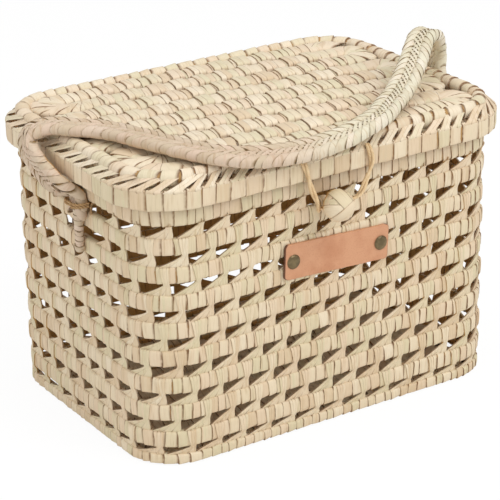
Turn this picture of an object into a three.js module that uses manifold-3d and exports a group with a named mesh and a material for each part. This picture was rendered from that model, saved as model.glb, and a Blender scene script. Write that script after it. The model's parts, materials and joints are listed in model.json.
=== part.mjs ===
// Woven lidded box: an openwork body of coiled palm leaf, a hinged woven lid with a skirt,
// a knob-and-loop closure, a riveted leather label and one soft strap handle.
// Millimetres, +Z up, +X to the right, the closure on the -Y side.
// The origin is the middle of the flat underside.

import * as THREE from 'three';
import { mergeVertices } from 'three/addons/utils/BufferGeometryUtils.js';
import Module from 'manifold-3d';

const wasm = await Module();
wasm.setup();

// Driving dimensions of the body.
const BODY_WIDTH = 300;
const BODY_DEPTH = 208;
const BODY_CORNER_RADIUS = 38;
const WALL_ROWS = 8;
const ROW_HEIGHT = 12;
const ROW_THICKNESS = 8;
const ROW_CHAMFER = 2;
const ROW_GAP = 8.3;
const BASE_COIL_HEIGHT = 7.5;
const BASE_GAP = 5.3;
const RIM_COIL_HEIGHT = 13.9;

// Ties that join one row to the next.
const TIE_PITCH = 20.4;
const TIE_FOOT = 16;
const TIE_WAIST = 5;
const TIE_THICKNESS = 2.8;
const TIE_SINK = 1;
const ROW_SHIFT_SHARE = 0.44;
const ROW_START_SHARE = 0.13;

// Lid.
const SKIRT_CLEARANCE = 2.5;
const SKIRT_THICKNESS = 6;
const SKIRT_HEIGHT = 14;
const SKIRT_CHAMFER = 1.5;
const SKIRT_OVERLAP = 13.2;
const LID_COIL_SIZE = 10;
const LID_COIL_CHAMFER = 2.9;
const LID_COIL_INSET = 7.5;
const LACING_PITCH = 18;
const LACING_WIDTH = 6;
const LACING_THICKNESS = 3;
const LACING_LEAN = 5;

// Coiled mats of the lid and of the base.
const MAT_ROWS = 9;
const MAT_SLIT = 3;
const MAT_CHAMFER = 2;
const LID_TIE_PITCH = 36;
const BASE_TIE_PITCH = 66;
const MAT_TIE_WIDTH = 6;
const MAT_TIE_THICKNESS = 2.4;
const LID_MAT_THICKNESS = 7;
const BASE_MAT_THICKNESS = 6.5;
const TURN_STEPS = 4;

// Closure.
const KNOB_X = -9.5;
const KNOB_RADIUS = 11.5;
const KNOB_NECK_RADIUS = 2.2;
const KNOB_NECK_LENGTH = 4.4;
const KNOB_SINK = 1;
const CORD_BAND_WIDTH = 5;
const CORD_BAND_THICKNESS = 1.5;
const LOOP_RADIUS = 1.5;
const LOOP_SPAN = 54;
const LOOP_X = -6.5;
const LOOP_STANDOFF = 0.5;
const LOOP_CRADLE_SHARE = 0.75;

// Label.
const LABEL_WIDTH = 88;
const LABEL_HEIGHT = 26;
const LABEL_THICKNESS = 2;
const LABEL_CORNER_RADIUS = 3;
const LABEL_ROW = 6;
const LABEL_RISE = 9.2;
const LABEL_TILT = 2.5;
const RIVET_INSET = 7;
const RIVET_HEAD_RADIUS = 4.4;
const RIVET_HEAD_HEIGHT = 1.8;
const RIVET_SHOULDER_SHARES = { radius: 0.86, height: 0.6 };
const RIVET_CROWN_SHARE = 0.5;
const RIVET_SHANK_RADIUS = 1.4;
const RIVET_WASHER_RADIUS = 7;
const RIVET_WASHER_THICKNESS = 1;

// Strap handle.
const STRAP_CORD_RADIUS = 4;
const STRAP_CORD_SPREAD = 13;
const STRAP_END_SPREAD = 8.6;
const STRAP_LOOP_RISE = 23;
const STRAP_SIDE_GAP = 1;
const STRAP_LIE_GAP = 1.4;
const STRAP_END = 6;
const ANCHOR_Y = -18;
const PLAIT_WIDTH = 2.4;
const PLAIT_THICKNESS = 3.4;
const PLAIT_STEP = 9;
const PLAIT_TRIM_STEPS = 2;
const KEEPER_BAND = 3;
const KEEPER_THICKNESS = 1.6;
const TAIL_LENGTH = 30;
const TAIL_RADIUS = 3.4;
const TAIL_TIP_RADIUS = 2.2;

// Hinge lashings.
const HINGE_SPACING = 95;
const HINGE_STRING = 1.4;
const HINGE_BAND = 3;

// Clearances.
const SEAT_GAP = 0.3;
const CUT_OVERRUN = 1;

// Levels that follow from the sizes above.
const ROW_PITCH = ROW_HEIGHT + ROW_GAP;
const rowBottom = (row) => BASE_COIL_HEIGHT + BASE_GAP + (row - 1) * ROW_PITCH;
const RIM_BOTTOM = rowBottom(WALL_ROWS + 1);
const RIM_TOP = RIM_BOTTOM + 2 * RIM_COIL_HEIGHT;
const SKIRT_BOTTOM = RIM_TOP - SKIRT_OVERLAP;
const SKIRT_TOP = SKIRT_BOTTOM + SKIRT_HEIGHT;
const LID_COIL_BOTTOM = RIM_TOP + SEAT_GAP;
const LID_COIL_MIDDLE = LID_COIL_BOTTOM + LID_COIL_SIZE / 2;
const LID_TOP = LID_COIL_BOTTOM + LID_COIL_SIZE;

// Outlines, each one inset from the skirt's or the body's.
const SKIRT_OVERHANG = SKIRT_CLEARANCE + SKIRT_THICKNESS;
const BODY_OUTLINE = { width: BODY_WIDTH, depth: BODY_DEPTH, radius: BODY_CORNER_RADIUS };
const SKIRT_OUTLINE = insetOutline(BODY_OUTLINE, -SKIRT_OVERHANG);
const LID_COIL_OUTLINE = insetOutline(SKIRT_OUTLINE, LID_COIL_INSET);
const FRONT_FACE = -BODY_DEPTH / 2;
const KNOB_Z = RIM_BOTTOM - ROW_GAP / 2;
const KEEPER_TOP = RIM_BOTTOM - 2 * SEAT_GAP - KEEPER_THICKNESS;
const ANCHOR_Z = KEEPER_TOP + KEEPER_THICKNESS / 2;

const FINISHES = {
  leaf: { color: 0xdfc9a2, roughness: 0.72, metalness: 0 },
  greenLeaf: { color: 0xd2c89c, roughness: 0.72, metalness: 0 },
  string: { color: 0xb98a54, roughness: 0.8, metalness: 0 },
  leather: { color: 0xc98f66, roughness: 0.55, metalness: 0 },
  brass: { color: 0x6f5f43, roughness: 0.42, metalness: 0.9 },
};

function insetOutline({ width, depth, radius }, inset) {
  return { width: width - 2 * inset, depth: depth - 2 * inset, radius: radius - inset };
}

// A closed rounded rectangle in plan, anticlockwise, as a shape.
function roundedRectangle({ width, depth, radius }) {
  const x = width / 2 - radius;
  const y = depth / 2 - radius;
  const shape = new THREE.Shape();
  shape.moveTo(-x, -y - radius);
  shape.lineTo(x, -y - radius);
  shape.absarc(x, -y, radius, -Math.PI / 2, 0, false);
  shape.lineTo(x + radius, y);
  shape.absarc(x, y, radius, 0, Math.PI / 2, false);
  shape.lineTo(-x, y + radius);
  shape.absarc(-x, y, radius, Math.PI / 2, Math.PI, false);
  shape.lineTo(-x - radius, -y);
  shape.absarc(-x, -y, radius, Math.PI, 1.5 * Math.PI, false);
  return shape;
}

// Solids for joining and cutting.
function toSolid(geometry) {
  const bare = geometry.clone();
  bare.deleteAttribute('normal');
  bare.deleteAttribute('uv');
  const merged = mergeVertices(bare, 1e-4);
  const vertProperties = new Float32Array(merged.attributes.position.array);
  const triVerts = new Uint32Array(merged.index.array);
  return new wasm.Manifold(new wasm.Mesh({ numProp: 3, vertProperties, triVerts }));
}

function toGeometry(solid) {
  const { vertProperties, triVerts } = solid.getMesh();
  const geometry = new THREE.BufferGeometry();
  geometry.setAttribute('position', new THREE.BufferAttribute(vertProperties, 3));
  geometry.setIndex(new THREE.BufferAttribute(triVerts, 1));
  geometry.computeVertexNormals();
  return geometry;
}

function join(base, additions) {
  let solid = toSolid(base);
  for (const addition of additions) solid = solid.add(toSolid(addition));
  return toGeometry(solid);
}

function cut(base, cutters) {
  let solid = toSolid(base);
  for (const cutter of cutters) solid = solid.subtract(toSolid(cutter));
  return toGeometry(solid);
}

// A turned solid from a profile of (radius, height) points, its axis along Y.
function turned(profile, sides) {
  const points = profile.map(([radius, height]) => new THREE.Vector2(radius, height));
  return faceOutwards(new THREE.LatheGeometry(points, sides));
}

// A flat slab of a shape drawn in plan, standing from z = 0 with chamfered edges.
function slab(shape, height, chamfer) {
  const geometry = new THREE.ExtrudeGeometry(shape, {
    depth: height - 2 * chamfer,
    bevelEnabled: chamfer > 0,
    bevelThickness: chamfer,
    bevelSize: chamfer,
    bevelOffset: -chamfer,
    bevelSegments: 1,
    curveSegments: 2,
  });
  return geometry.translate(0, 0, chamfer);
}

// One closed coil of the wall: a chamfered band round a rounded rectangle.
function coilRing(outline, thickness, height, chamfer) {
  const shape = roundedRectangle(outline);
  shape.holes.push(roundedRectangle(insetOutline(outline, thickness)));
  return slab(shape, height, chamfer);
}

// A shape drawn as (across, up) and given a thickness, turned to stand upright.
function uprightPlate(shape, thickness, curveSegments) {
  const geometry = new THREE.ExtrudeGeometry(shape, {
    depth: thickness, bevelEnabled: false, curveSegments,
  });
  return geometry.rotateX(Math.PI / 2).translate(0, thickness / 2, 0);
}

function polygon(points) {
  return new THREE.Shape(points.map(([x, y]) => new THREE.Vector2(x, y)));
}

// Evenly spaced places along a rounded rectangle, each with its tangent's angle.
function placesAlong(outline, pitch, shift) {
  const path = roundedRectangle(outline);
  const count = Math.round(path.getLength() / pitch);
  const places = [];
  for (let i = 0; i < count; i += 1) {
    const share = ((i + shift) / count) % 1;
    const point = path.getPoint(share);
    const tangent = path.getTangent(share);
    places.push({ x: point.x, y: point.y, angle: Math.atan2(tangent.y, tangent.x) });
  }
  return places;
}

// Spots on the wall where a lashing or a rivet passes between the ties above a row.
function lashingSpots(row) {
  const side = BODY_WIDTH / 2;
  const keeperReach = STRAP_END_SPREAD / 2 + STRAP_CORD_RADIUS + SEAT_GAP + KEEPER_BAND;
  const hinges = hingePlaces().map((x) => ({ x, y: BODY_DEPTH / 2, reach: HINGE_BAND / 2 }));
  if (row === LABEL_ROW) {
    return [-1, 1].map((end) => ({ x: rivetPlace(end), y: FRONT_FACE, reach: RIVET_SHANK_RADIUS }));
  }
  if (row < WALL_ROWS - 1) return [];
  return [
    { x: KNOB_X, y: FRONT_FACE, reach: CORD_BAND_WIDTH / 2 },
    { x: -side, y: ANCHOR_Y, reach: keeperReach },
    { x: side, y: ANCHOR_Y, reach: keeperReach },
    ...(row === WALL_ROWS ? hinges : []),
  ];
}

function isClear(place, spots) {
  const hit = ({ x, y, reach }) => {
    const distance = Math.hypot(place.x - x, place.y - y);
    return distance < reach + TIE_FOOT / 2 + ROW_THICKNESS / 2;
  };
  return !spots.some(hit);
}

// A tie: a wide foot on the lower row, a narrow waist under the upper one.
function tieShape(rise) {
  return polygon([
    [-TIE_FOOT / 2, -TIE_SINK],
    [TIE_FOOT / 2, -TIE_SINK],
    [TIE_FOOT / 2, rise],
    [TIE_FOOT / 2 - TIE_WAIST, rise],
  ]);
}

function tiesOn(height, row, gap) {
  const middle = insetOutline(BODY_OUTLINE, ROW_THICKNESS / 2);
  const spots = lashingSpots(row);
  const shift = ((WALL_ROWS - row) * ROW_SHIFT_SHARE + ROW_START_SHARE) % 1;
  return placesAlong(middle, TIE_PITCH, shift)
    .filter((place) => isClear(place, spots))
    .map(({ x, y, angle }) => uprightPlate(tieShape(gap - SEAT_GAP), TIE_THICKNESS, 1)
      .rotateZ(angle)
      .translate(x, y, height));
}

function wallRow(row) {
  const ring = coilRing(BODY_OUTLINE, ROW_THICKNESS, ROW_HEIGHT, ROW_CHAMFER);
  return join(ring, tiesOn(ROW_HEIGHT, row, ROW_GAP)).translate(0, 0, rowBottom(row));
}

function baseEdgeCoil() {
  const ring = coilRing(BODY_OUTLINE, ROW_THICKNESS, BASE_COIL_HEIGHT, ROW_CHAMFER);
  return join(ring, tiesOn(BASE_COIL_HEIGHT, 0, BASE_GAP));
}

// Sweep a convex section along stations; each has an origin, an across and an up vector.
function sweep(stations, section) {
  const positions = [];
  for (const { origin, across, up } of stations) {
    for (const [a, b] of section) {
      const point = origin.clone().addScaledVector(across, a).addScaledVector(up, b);
      positions.push(point.x, point.y, point.z);
    }
  }
  const n = section.length;
  const last = (stations.length - 1) * n;
  const index = [];
  for (let s = 0; s < stations.length - 1; s += 1) {
    for (let i = 0; i < n; i += 1) {
      const a = s * n + i;
      const b = s * n + (i + 1) % n;
      index.push(a, b, b + n, a, b + n, a + n);
    }
  }
  for (let i = 1; i < n - 1; i += 1) {
    index.push(0, i + 1, i, last, last + i, last + i + 1);
  }
  const geometry = new THREE.BufferGeometry();
  geometry.setAttribute('position', new THREE.Float32BufferAttribute(positions, 3));
  geometry.setIndex(index);
  return faceOutwards(geometry);
}

// Turn every triangle over if the closed surface encloses a negative volume.
function faceOutwards(geometry) {
  const { array } = geometry.attributes.position;
  const index = geometry.index.array;
  const corner = (i) => new THREE.Vector3().fromArray(array, 3 * index[i]);
  let volume = 0;
  for (let i = 0; i < index.length; i += 3) {
    volume += corner(i).dot(corner(i + 1).cross(corner(i + 2)));
  }
  if (volume < 0) {
    for (let i = 0; i < index.length; i += 3) {
      [index[i + 1], index[i + 2]] = [index[i + 2], index[i + 1]];
    }
  }
  geometry.computeVertexNormals();
  return geometry;
}

function chamferedSection(width, height, chamfer) {
  const a = width / 2;
  const b = height / 2;
  return [
    [-a + chamfer, -b], [a - chamfer, -b], [a, -b + chamfer], [a, b - chamfer],
    [a - chamfer, b], [-a + chamfer, b], [-a, b - chamfer], [-a, -b + chamfer],
  ];
}

// Half the length of a rounded rectangle along X, at a distance y from its middle.
function halfLengthAt({ width, depth, radius }, y) {
  const beyond = Math.abs(y) - (depth / 2 - radius);
  if (beyond <= 0) return width / 2;
  return width / 2 - radius + Math.sqrt(Math.max(0, radius ** 2 - beyond ** 2));
}

// A coil laid to and fro in rows, tied row to row, filling a rounded rectangle.
function serpentineMat(outline, thickness, tiePitch) {
  const space = insetOutline(outline, SEAT_GAP);
  const pitch = (space.depth + MAT_SLIT) / MAT_ROWS;
  const rowWidth = pitch - MAT_SLIT;
  const bend = pitch / 2 + rowWidth / 2;
  const rowY = (row) => -space.depth / 2 + rowWidth / 2 + row * pitch;
  const up = new THREE.Vector3(0, 0, 1);
  const stations = [];
  const place = (x, y, angle) => stations.push({
    origin: new THREE.Vector3(x, y, 0),
    across: new THREE.Vector3(-Math.sin(angle), Math.cos(angle), 0),
    up,
  });
  const turnX = (y) => {
    let reach = Infinity;
    for (let i = 0; i <= TURN_STEPS * 4; i += 1) {
      const phi = -Math.PI / 2 + (Math.PI * i) / (TURN_STEPS * 4);
      const limit = halfLengthAt(space, y + bend * Math.sin(phi)) - bend * Math.cos(phi);
      reach = Math.min(reach, limit);
    }
    return reach;
  };
  const endX = (y) => halfLengthAt(space, Math.abs(y) + rowWidth / 2);
  place(-endX(rowY(0)), rowY(0), 0);
  for (let row = 0; row < MAT_ROWS - 1; row += 1) {
    const side = row % 2 === 0 ? 1 : -1;
    const middle = rowY(row) + pitch / 2;
    for (let i = 0; i <= TURN_STEPS; i += 1) {
      const turn = (Math.PI * i) / TURN_STEPS;
      const x = side * (turnX(middle) + (pitch / 2) * Math.sin(turn));
      const heading = side > 0 ? turn : Math.PI - turn;
      place(x, middle - (pitch / 2) * Math.cos(turn), heading);
    }
  }
  const finish = MAT_ROWS % 2 === 0 ? -1 : 1;
  place(finish * endX(rowY(MAT_ROWS - 1)), rowY(MAT_ROWS - 1), finish > 0 ? 0 : Math.PI);
  const coil = sweep(stations, chamferedSection(rowWidth, thickness, MAT_CHAMFER));
  const ties = [];
  for (let row = 0; row < MAT_ROWS - 1; row += 1) {
    const middle = rowY(row) + pitch / 2;
    const half = turnX(middle) - tiePitch / 2;
    const count = Math.max(1, Math.floor((2 * half) / tiePitch));
    for (let i = 0; i < count; i += 1) {
      const x = (i - (count - 1) / 2) * tiePitch;
      const depth = MAT_SLIT + 2 * TIE_SINK;
      ties.push(new THREE.BoxGeometry(MAT_TIE_WIDTH, depth, MAT_TIE_THICKNESS)
        .translate(x, middle, 0));
    }
  }
  return join(coil, ties).translate(0, 0, thickness / 2);
}

function baseMat() {
  const space = insetOutline(BODY_OUTLINE, ROW_THICKNESS);
  return serpentineMat(space, BASE_MAT_THICKNESS, BASE_TIE_PITCH);
}

function lidMat() {
  const bottom = LID_COIL_MIDDLE - LID_MAT_THICKNESS / 2;
  const space = insetOutline(LID_COIL_OUTLINE, LID_COIL_SIZE);
  return serpentineMat(space, LID_MAT_THICKNESS, LID_TIE_PITCH).translate(0, 0, bottom);
}

// The lip carries a notch for each hinge lashing.
function rimLipCoil() {
  const ring = coilRing(BODY_OUTLINE, ROW_THICKNESS, RIM_COIL_HEIGHT, ROW_CHAMFER);
  const depth = HINGE_STRING + 2 * SEAT_GAP;
  const notches = hingePlaces().map((x) => new THREE.BoxGeometry(
    HINGE_BAND + 2 * SEAT_GAP, ROW_THICKNESS + 2 * CUT_OVERRUN, depth + CUT_OVERRUN,
  ).translate(x, (BODY_DEPTH - ROW_THICKNESS) / 2, RIM_COIL_HEIGHT - (depth - CUT_OVERRUN) / 2));
  return cut(ring, notches).translate(0, 0, RIM_TOP - RIM_COIL_HEIGHT);
}

// Lacing: short ties that lean inwards and along, from the skirt up to the lid's edge coil.
function lacingTies() {
  const rise = LID_COIL_MIDDLE - SKIRT_TOP;
  const footInset = SKIRT_THICKNESS / 2;
  const topInset = LID_COIL_INSET - SEAT_GAP - LACING_THICKNESS / 2;
  const inward = (topInset - footInset) / rise;
  const along = LACING_LEAN / rise;
  const shape = polygon([
    [-LACING_WIDTH / 2, -TIE_SINK], [LACING_WIDTH / 2, -TIE_SINK],
    [LACING_WIDTH / 2, rise], [-LACING_WIDTH / 2, rise],
  ]);
  const shear = new THREE.Matrix4().makeShear(0, 0, 0, 0, along, inward);
  return placesAlong(insetOutline(SKIRT_OUTLINE, footInset), LACING_PITCH, 1 / 2)
    .filter(({ x, y }) => y < 0 || !hingePlaces().some((hinge) => nearHinge(x, hinge)))
    .map(({ x, y, angle }) => uprightPlate(shape, LACING_THICKNESS, 1)
      .applyMatrix4(shear)
      .rotateZ(angle)
      .translate(x, y, SKIRT_HEIGHT));
}

function nearHinge(x, hinge) {
  return Math.abs(x - hinge) < HINGE_BAND + LACING_WIDTH / 2 + LACING_LEAN;
}

function lidSkirt() {
  const ring = coilRing(SKIRT_OUTLINE, SKIRT_THICKNESS, SKIRT_HEIGHT, SKIRT_CHAMFER);
  return join(ring, lacingTies()).translate(0, 0, SKIRT_BOTTOM);
}

function lidEdgeCoil() {
  return coilRing(LID_COIL_OUTLINE, LID_COIL_SIZE, LID_COIL_SIZE, LID_COIL_CHAMFER)
    .translate(0, 0, LID_COIL_BOTTOM);
}

// A flat band bent into a closed rectangular loop, drawn as (across, up) round an opening.
function bandLoop({ left, right, bottom, top, thickness }) {
  const shape = polygon([
    [left - thickness, bottom - thickness], [right + thickness, bottom - thickness],
    [right + thickness, top + thickness], [left - thickness, top + thickness],
  ]);
  shape.holes.push(polygon([[left, bottom], [left, top], [right, top], [right, bottom]]));
  return shape;
}

// A loop round the top wall row, drawn with its outer side at across = 0. Its upper run
// passes through the openings above the row.
function rowLoop(top, thickness) {
  return bandLoop({
    left: -SEAT_GAP,
    right: ROW_THICKNESS + SEAT_GAP,
    bottom: rowBottom(WALL_ROWS) - SEAT_GAP,
    top,
    thickness,
  });
}

// The knob's leaf ends wrap the top wall row and reach out to the ball as a short neck.
function knobCord() {
  const top = KNOB_Z - CORD_BAND_THICKNESS / 2;
  const loop = uprightPlate(rowLoop(top, CORD_BAND_THICKNESS), CORD_BAND_WIDTH, 1)
    .rotateZ(Math.PI / 2)
    .translate(KNOB_X, FRONT_FACE, 0);
  const neck = new THREE.CylinderGeometry(
    KNOB_NECK_RADIUS, KNOB_NECK_RADIUS, KNOB_NECK_LENGTH + KNOB_SINK, 8,
  ).translate(KNOB_X, 0, KNOB_Z);
  const start = FRONT_FACE - SEAT_GAP - CORD_BAND_THICKNESS + KNOB_SINK;
  return join(loop, [neck.translate(0, start - (KNOB_NECK_LENGTH + KNOB_SINK) / 2, 0)]);
}

// The ball, with a shallow flat where the neck meets it.
function knobBall() {
  const neckEnd = FRONT_FACE - SEAT_GAP - CORD_BAND_THICKNESS - KNOB_NECK_LENGTH;
  const ball = new THREE.SphereGeometry(KNOB_RADIUS, 14, 9).rotateX(Math.PI / 2)
    .translate(KNOB_X, neckEnd - SEAT_GAP - KNOB_RADIUS + KNOB_SINK, KNOB_Z);
  const flat = new THREE.BoxGeometry(2 * KNOB_RADIUS, 2 * KNOB_SINK, 2 * KNOB_RADIUS)
    .translate(KNOB_X, neckEnd - SEAT_GAP + KNOB_SINK, KNOB_Z);
  return cut(ball, [flat]);
}

// A string hung from two points of the skirt's upper edge, behind the ball's neck.
function closureLoop() {
  const y = -SKIRT_OUTLINE.depth / 2 - LOOP_RADIUS - LOOP_STANDOFF;
  const bottom = KNOB_Z - KNOB_NECK_RADIUS - SEAT_GAP - LOOP_RADIUS;
  const top = SKIRT_TOP + SEAT_GAP + LOOP_RADIUS;
  const half = LOOP_SPAN / 2;
  const neck = FRONT_FACE - SEAT_GAP - CORD_BAND_THICKNESS - SEAT_GAP - LOOP_RADIUS;
  const side = KNOB_RADIUS * LOOP_CRADLE_SHARE;
  const points = [
    [LOOP_X - half, y + SKIRT_THICKNESS / 2, top],
    [LOOP_X - half, y, SKIRT_TOP],
    [(LOOP_X - half + KNOB_X - side) / 2, y, (SKIRT_TOP + KNOB_Z) / 2],
    [KNOB_X - side, (y + neck) / 2, KNOB_Z + KNOB_NECK_RADIUS],
    [KNOB_X - side / 2, neck, bottom],
    [KNOB_X, neck, bottom],
    [KNOB_X + side / 2, neck, bottom],
    [KNOB_X + side, (y + neck) / 2, KNOB_Z + KNOB_NECK_RADIUS],
    [(LOOP_X + half + KNOB_X + side) / 2, y, (SKIRT_TOP + KNOB_Z) / 2],
    [LOOP_X + half, y, SKIRT_TOP],
    [LOOP_X + half, y + SKIRT_THICKNESS / 2, top],
  ].map(([x, depth, z]) => new THREE.Vector3(x, depth, z));
  return cordAlong(new THREE.CatmullRomCurve3(points, false, 'centripetal'), LOOP_RADIUS, 36, 6);
}

// A round cord along a curve.
function cordAlong(curve, radius, steps, sides) {
  const section = polygon(Array.from({ length: sides }, (unused, i) => {
    const angle = (2 * Math.PI * i) / sides;
    return [radius * Math.cos(angle), radius * Math.sin(angle)];
  }));
  return new THREE.ExtrudeGeometry(section, { steps, bevelEnabled: false, extrudePath: curve });
}

// Label and rivets, drawn level and then tilted together on the wall's face.
function labelPlace(geometry) {
  const z = rowBottom(LABEL_ROW) + ROW_HEIGHT / 2 + LABEL_RISE;
  return geometry.rotateY(THREE.MathUtils.degToRad(LABEL_TILT)).translate(0, FRONT_FACE, z);
}

function rivetPlace(side) {
  return side * (LABEL_WIDTH / 2 - RIVET_INSET);
}

function label() {
  const outline = { width: LABEL_WIDTH, depth: LABEL_HEIGHT, radius: LABEL_CORNER_RADIUS };
  const shape = roundedRectangle(outline);
  for (const side of [-1, 1]) {
    const hole = new THREE.Path();
    hole.absarc(rivetPlace(side), 0, RIVET_SHANK_RADIUS + SEAT_GAP, 0, 2 * Math.PI, true);
    shape.holes.push(hole);
  }
  const plate = uprightPlate(shape, LABEL_THICKNESS, 4);
  return labelPlace(plate.translate(0, -SEAT_GAP - LABEL_THICKNESS / 2, 0));
}

// Round pieces on the rivet's axis: profile points are (radius, distance out from the wall).
function rivetTurning(side, profile) {
  const turning = turned(profile.map(([radius, out]) => [radius, -out]), 10);
  return labelPlace(turning.translate(rivetPlace(side), 0, 0));
}

function rivet(side) {
  const face = SEAT_GAP + LABEL_THICKNESS + SEAT_GAP;
  const inner = -ROW_THICKNESS - SEAT_GAP - RIVET_WASHER_THICKNESS / 2;
  const shoulder = RIVET_SHOULDER_SHARES;
  return rivetTurning(side, [
    [0, inner], [RIVET_SHANK_RADIUS, inner], [RIVET_SHANK_RADIUS, face],
    [RIVET_HEAD_RADIUS, face],
    [RIVET_HEAD_RADIUS * shoulder.radius, face + RIVET_HEAD_HEIGHT * shoulder.height],
    [RIVET_HEAD_RADIUS * RIVET_CROWN_SHARE, face + RIVET_HEAD_HEIGHT],
    [0, face + RIVET_HEAD_HEIGHT],
  ]);
}

function rivetWasher(side) {
  const near = -ROW_THICKNESS - SEAT_GAP;
  const far = near - RIVET_WASHER_THICKNESS;
  const bore = RIVET_SHANK_RADIUS + SEAT_GAP;
  return rivetTurning(side, [
    [bore, far], [RIVET_WASHER_RADIUS, far], [RIVET_WASHER_RADIUS, near], [bore, near], [bore, far],
  ]);
}

// Hinge lashings: a figure of eight, round the skirt and round the two rim coils.
function hingePlaces() {
  return [-HINGE_SPACING, 0, HINGE_SPACING];
}

function hingeLashing(x) {
  const gapMiddle = -SKIRT_CLEARANCE / 2;
  const half = HINGE_STRING / 2;
  const rim = bandLoop({
    left: gapMiddle + half,
    right: ROW_THICKNESS + SEAT_GAP,
    bottom: RIM_BOTTOM - SEAT_GAP,
    top: RIM_TOP - HINGE_STRING - SEAT_GAP,
    thickness: HINGE_STRING,
  });
  const skirt = bandLoop({
    left: -SKIRT_OVERHANG - SEAT_GAP,
    right: gapMiddle - half,
    bottom: SKIRT_BOTTOM - SEAT_GAP,
    top: SKIRT_TOP + SEAT_GAP,
    thickness: HINGE_STRING,
  });
  const [lower, upper] = [rim, skirt].map((shape) => uprightPlate(shape, HINGE_BAND, 1)
    .rotateZ(-Math.PI / 2)
    .translate(x, BODY_DEPTH / 2, 0));
  return join(lower, [upper]);
}

// Route of the strap between its keepers. The columns are shares of the half width at which it
// passes the skirt, of the skirt's half depth, of the climb from the keepers to the lid's top and
// of the standing loop's rise, then the strap's heading in plan and its lean, in degrees.
// The strap is narrow in its keepers and has its full width at every place of this route.
const STRAP_ROUTE_SHARES = [
  [-1.012, -0.110, 0.27, 0, 0, -30],
  [-1.025, 0.040, 0.42, 0, 0, -36],
  [-1.038, 0.160, 0.64, 0, 0, -28],
  [-1.025, 0.200, 0.88, 0, -6, -10],
  [-0.955, 0.150, 1, 0, -24, 0],
  [-0.865, 0.010, 1, 0, -44, 0],
  [-0.782, -0.120, 1, 0, -58, 0],
  [-0.725, -0.330, 1, 0, -68, 0],
  [-0.675, -0.540, 1, 0, -68, 0],
  [-0.626, -0.731, 1, 0, -62, 2],
  [-0.570, -0.893, 1, 0, -48, 4],
  [-0.493, -0.985, 1, -0.04, -26, 10],
  [-0.376, -1.010, 1, -0.16, -5, 14],
  [-0.200, -1.018, 1, -0.23, 0, 14],
  [-0.012, -1.004, 1, -0.16, 8, 8],
  [0.164, -0.942, 1, -0.02, 23, 0],
  [0.255, -0.871, 1, 0, 33, 0],
  [0.352, -0.764, 1, 0.02, 37, 0],
  [0.502, -0.604, 1, 0.13, 37, 0],
  [0.623, -0.471, 1, 0.43, 36, 0],
  [0.743, -0.316, 1, 0.75, 34, 0],
  [0.795, -0.249, 1, 0.90, 31, 0],
  [0.861, -0.178, 1, 0.96, 25, 0],
  [0.929, -0.116, 1, 0.80, 17, 0],
  [0.984, -0.053, 1, 0.33, 8, 0],
  [1.004, -0.027, 0.88, 0, 3, 0],
  [1.003, -0.040, 0.63, 0, 0, -8],
  [1, -0.100, 0.36, 0, 0, -12],
];

// Places of the strap: the middle line's point and the unit vector towards its rear cord.
function strapPlaces() {
  const seat = BODY_WIDTH / 2 + SEAT_GAP + STRAP_CORD_RADIUS;
  const pass = SKIRT_OUTLINE.width / 2 + STRAP_SIDE_GAP + STRAP_CORD_RADIUS;
  const lie = LID_TOP + STRAP_LIE_GAP + STRAP_CORD_RADIUS;
  const held = (side, z) => ({
    middle: new THREE.Vector3(side * seat, ANCHOR_Y, z),
    rear: new THREE.Vector3(0, 1, 0),
    spread: STRAP_END_SPREAD,
  });
  const free = STRAP_ROUTE_SHARES.map(([wide, deep, climb, rise, heading, lean]) => {
    const yaw = THREE.MathUtils.degToRad(heading);
    const roll = THREE.MathUtils.degToRad(lean);
    const z = ANCHOR_Z + climb * (lie - ANCHOR_Z) + rise * STRAP_LOOP_RISE;
    return {
      middle: new THREE.Vector3(wide * pass, deep * SKIRT_OUTLINE.depth / 2, z),
      rear: new THREE.Vector3(
        -Math.sin(yaw) * Math.cos(roll), Math.cos(yaw) * Math.cos(roll), Math.sin(roll),
      ),
      spread: STRAP_CORD_SPREAD,
    };
  });
  return [
    held(-1, ANCHOR_Z - STRAP_END), held(-1, ANCHOR_Z + STRAP_END), ...free,
    held(1, ANCHOR_Z + STRAP_END), held(1, ANCHOR_Z - STRAP_END),
  ];
}

// A line along the strap at a distance inside the middle of its front or rear cord.
function strapCurve(side, inside, places) {
  const points = places.map(({ middle, rear, spread }) => (
    middle.addScaledVector(rear, side * (spread / 2 - inside))));
  return new THREE.CatmullRomCurve3(points, false, 'centripetal');
}

function strapCord(side) {
  return cordAlong(strapCurve(side, 0, strapPlaces()), STRAP_CORD_RADIUS, 52, 6);
}

// The leaf that laces the two cords together: a flat strand that zigzags between them.
function strapPlait() {
  const inside = STRAP_CORD_RADIUS + SEAT_GAP;
  const swing = (STRAP_CORD_SPREAD - PLAIT_WIDTH) / 2 - inside;
  const wide = ({ spread }) => spread === STRAP_CORD_SPREAD;
  const [front, rear] = [-1, 1].map((side) => (
    strapCurve(side, inside, strapPlaces().filter(wide))));
  const count = Math.round(front.getLength() / PLAIT_STEP);
  const stations = [];
  for (let i = PLAIT_TRIM_STEPS; i <= count - PLAIT_TRIM_STEPS; i += 1) {
    const a = front.getPointAt(i / count);
    const b = rear.getPointAt(i / count);
    const across = b.clone().sub(a).normalize();
    const along = front.getTangentAt(i / count);
    const up = along.cross(across).normalize();
    const middle = a.add(b).multiplyScalar(1 / 2);
    stations.push({ origin: middle.addScaledVector(across, i % 2 ? swing : -swing), across, up });
  }
  const half = PLAIT_WIDTH / 2;
  const thick = PLAIT_THICKNESS / 2;
  return sweep(stations, [[-half, -thick], [half, -thick], [half, thick], [-half, thick]]);
}

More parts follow.
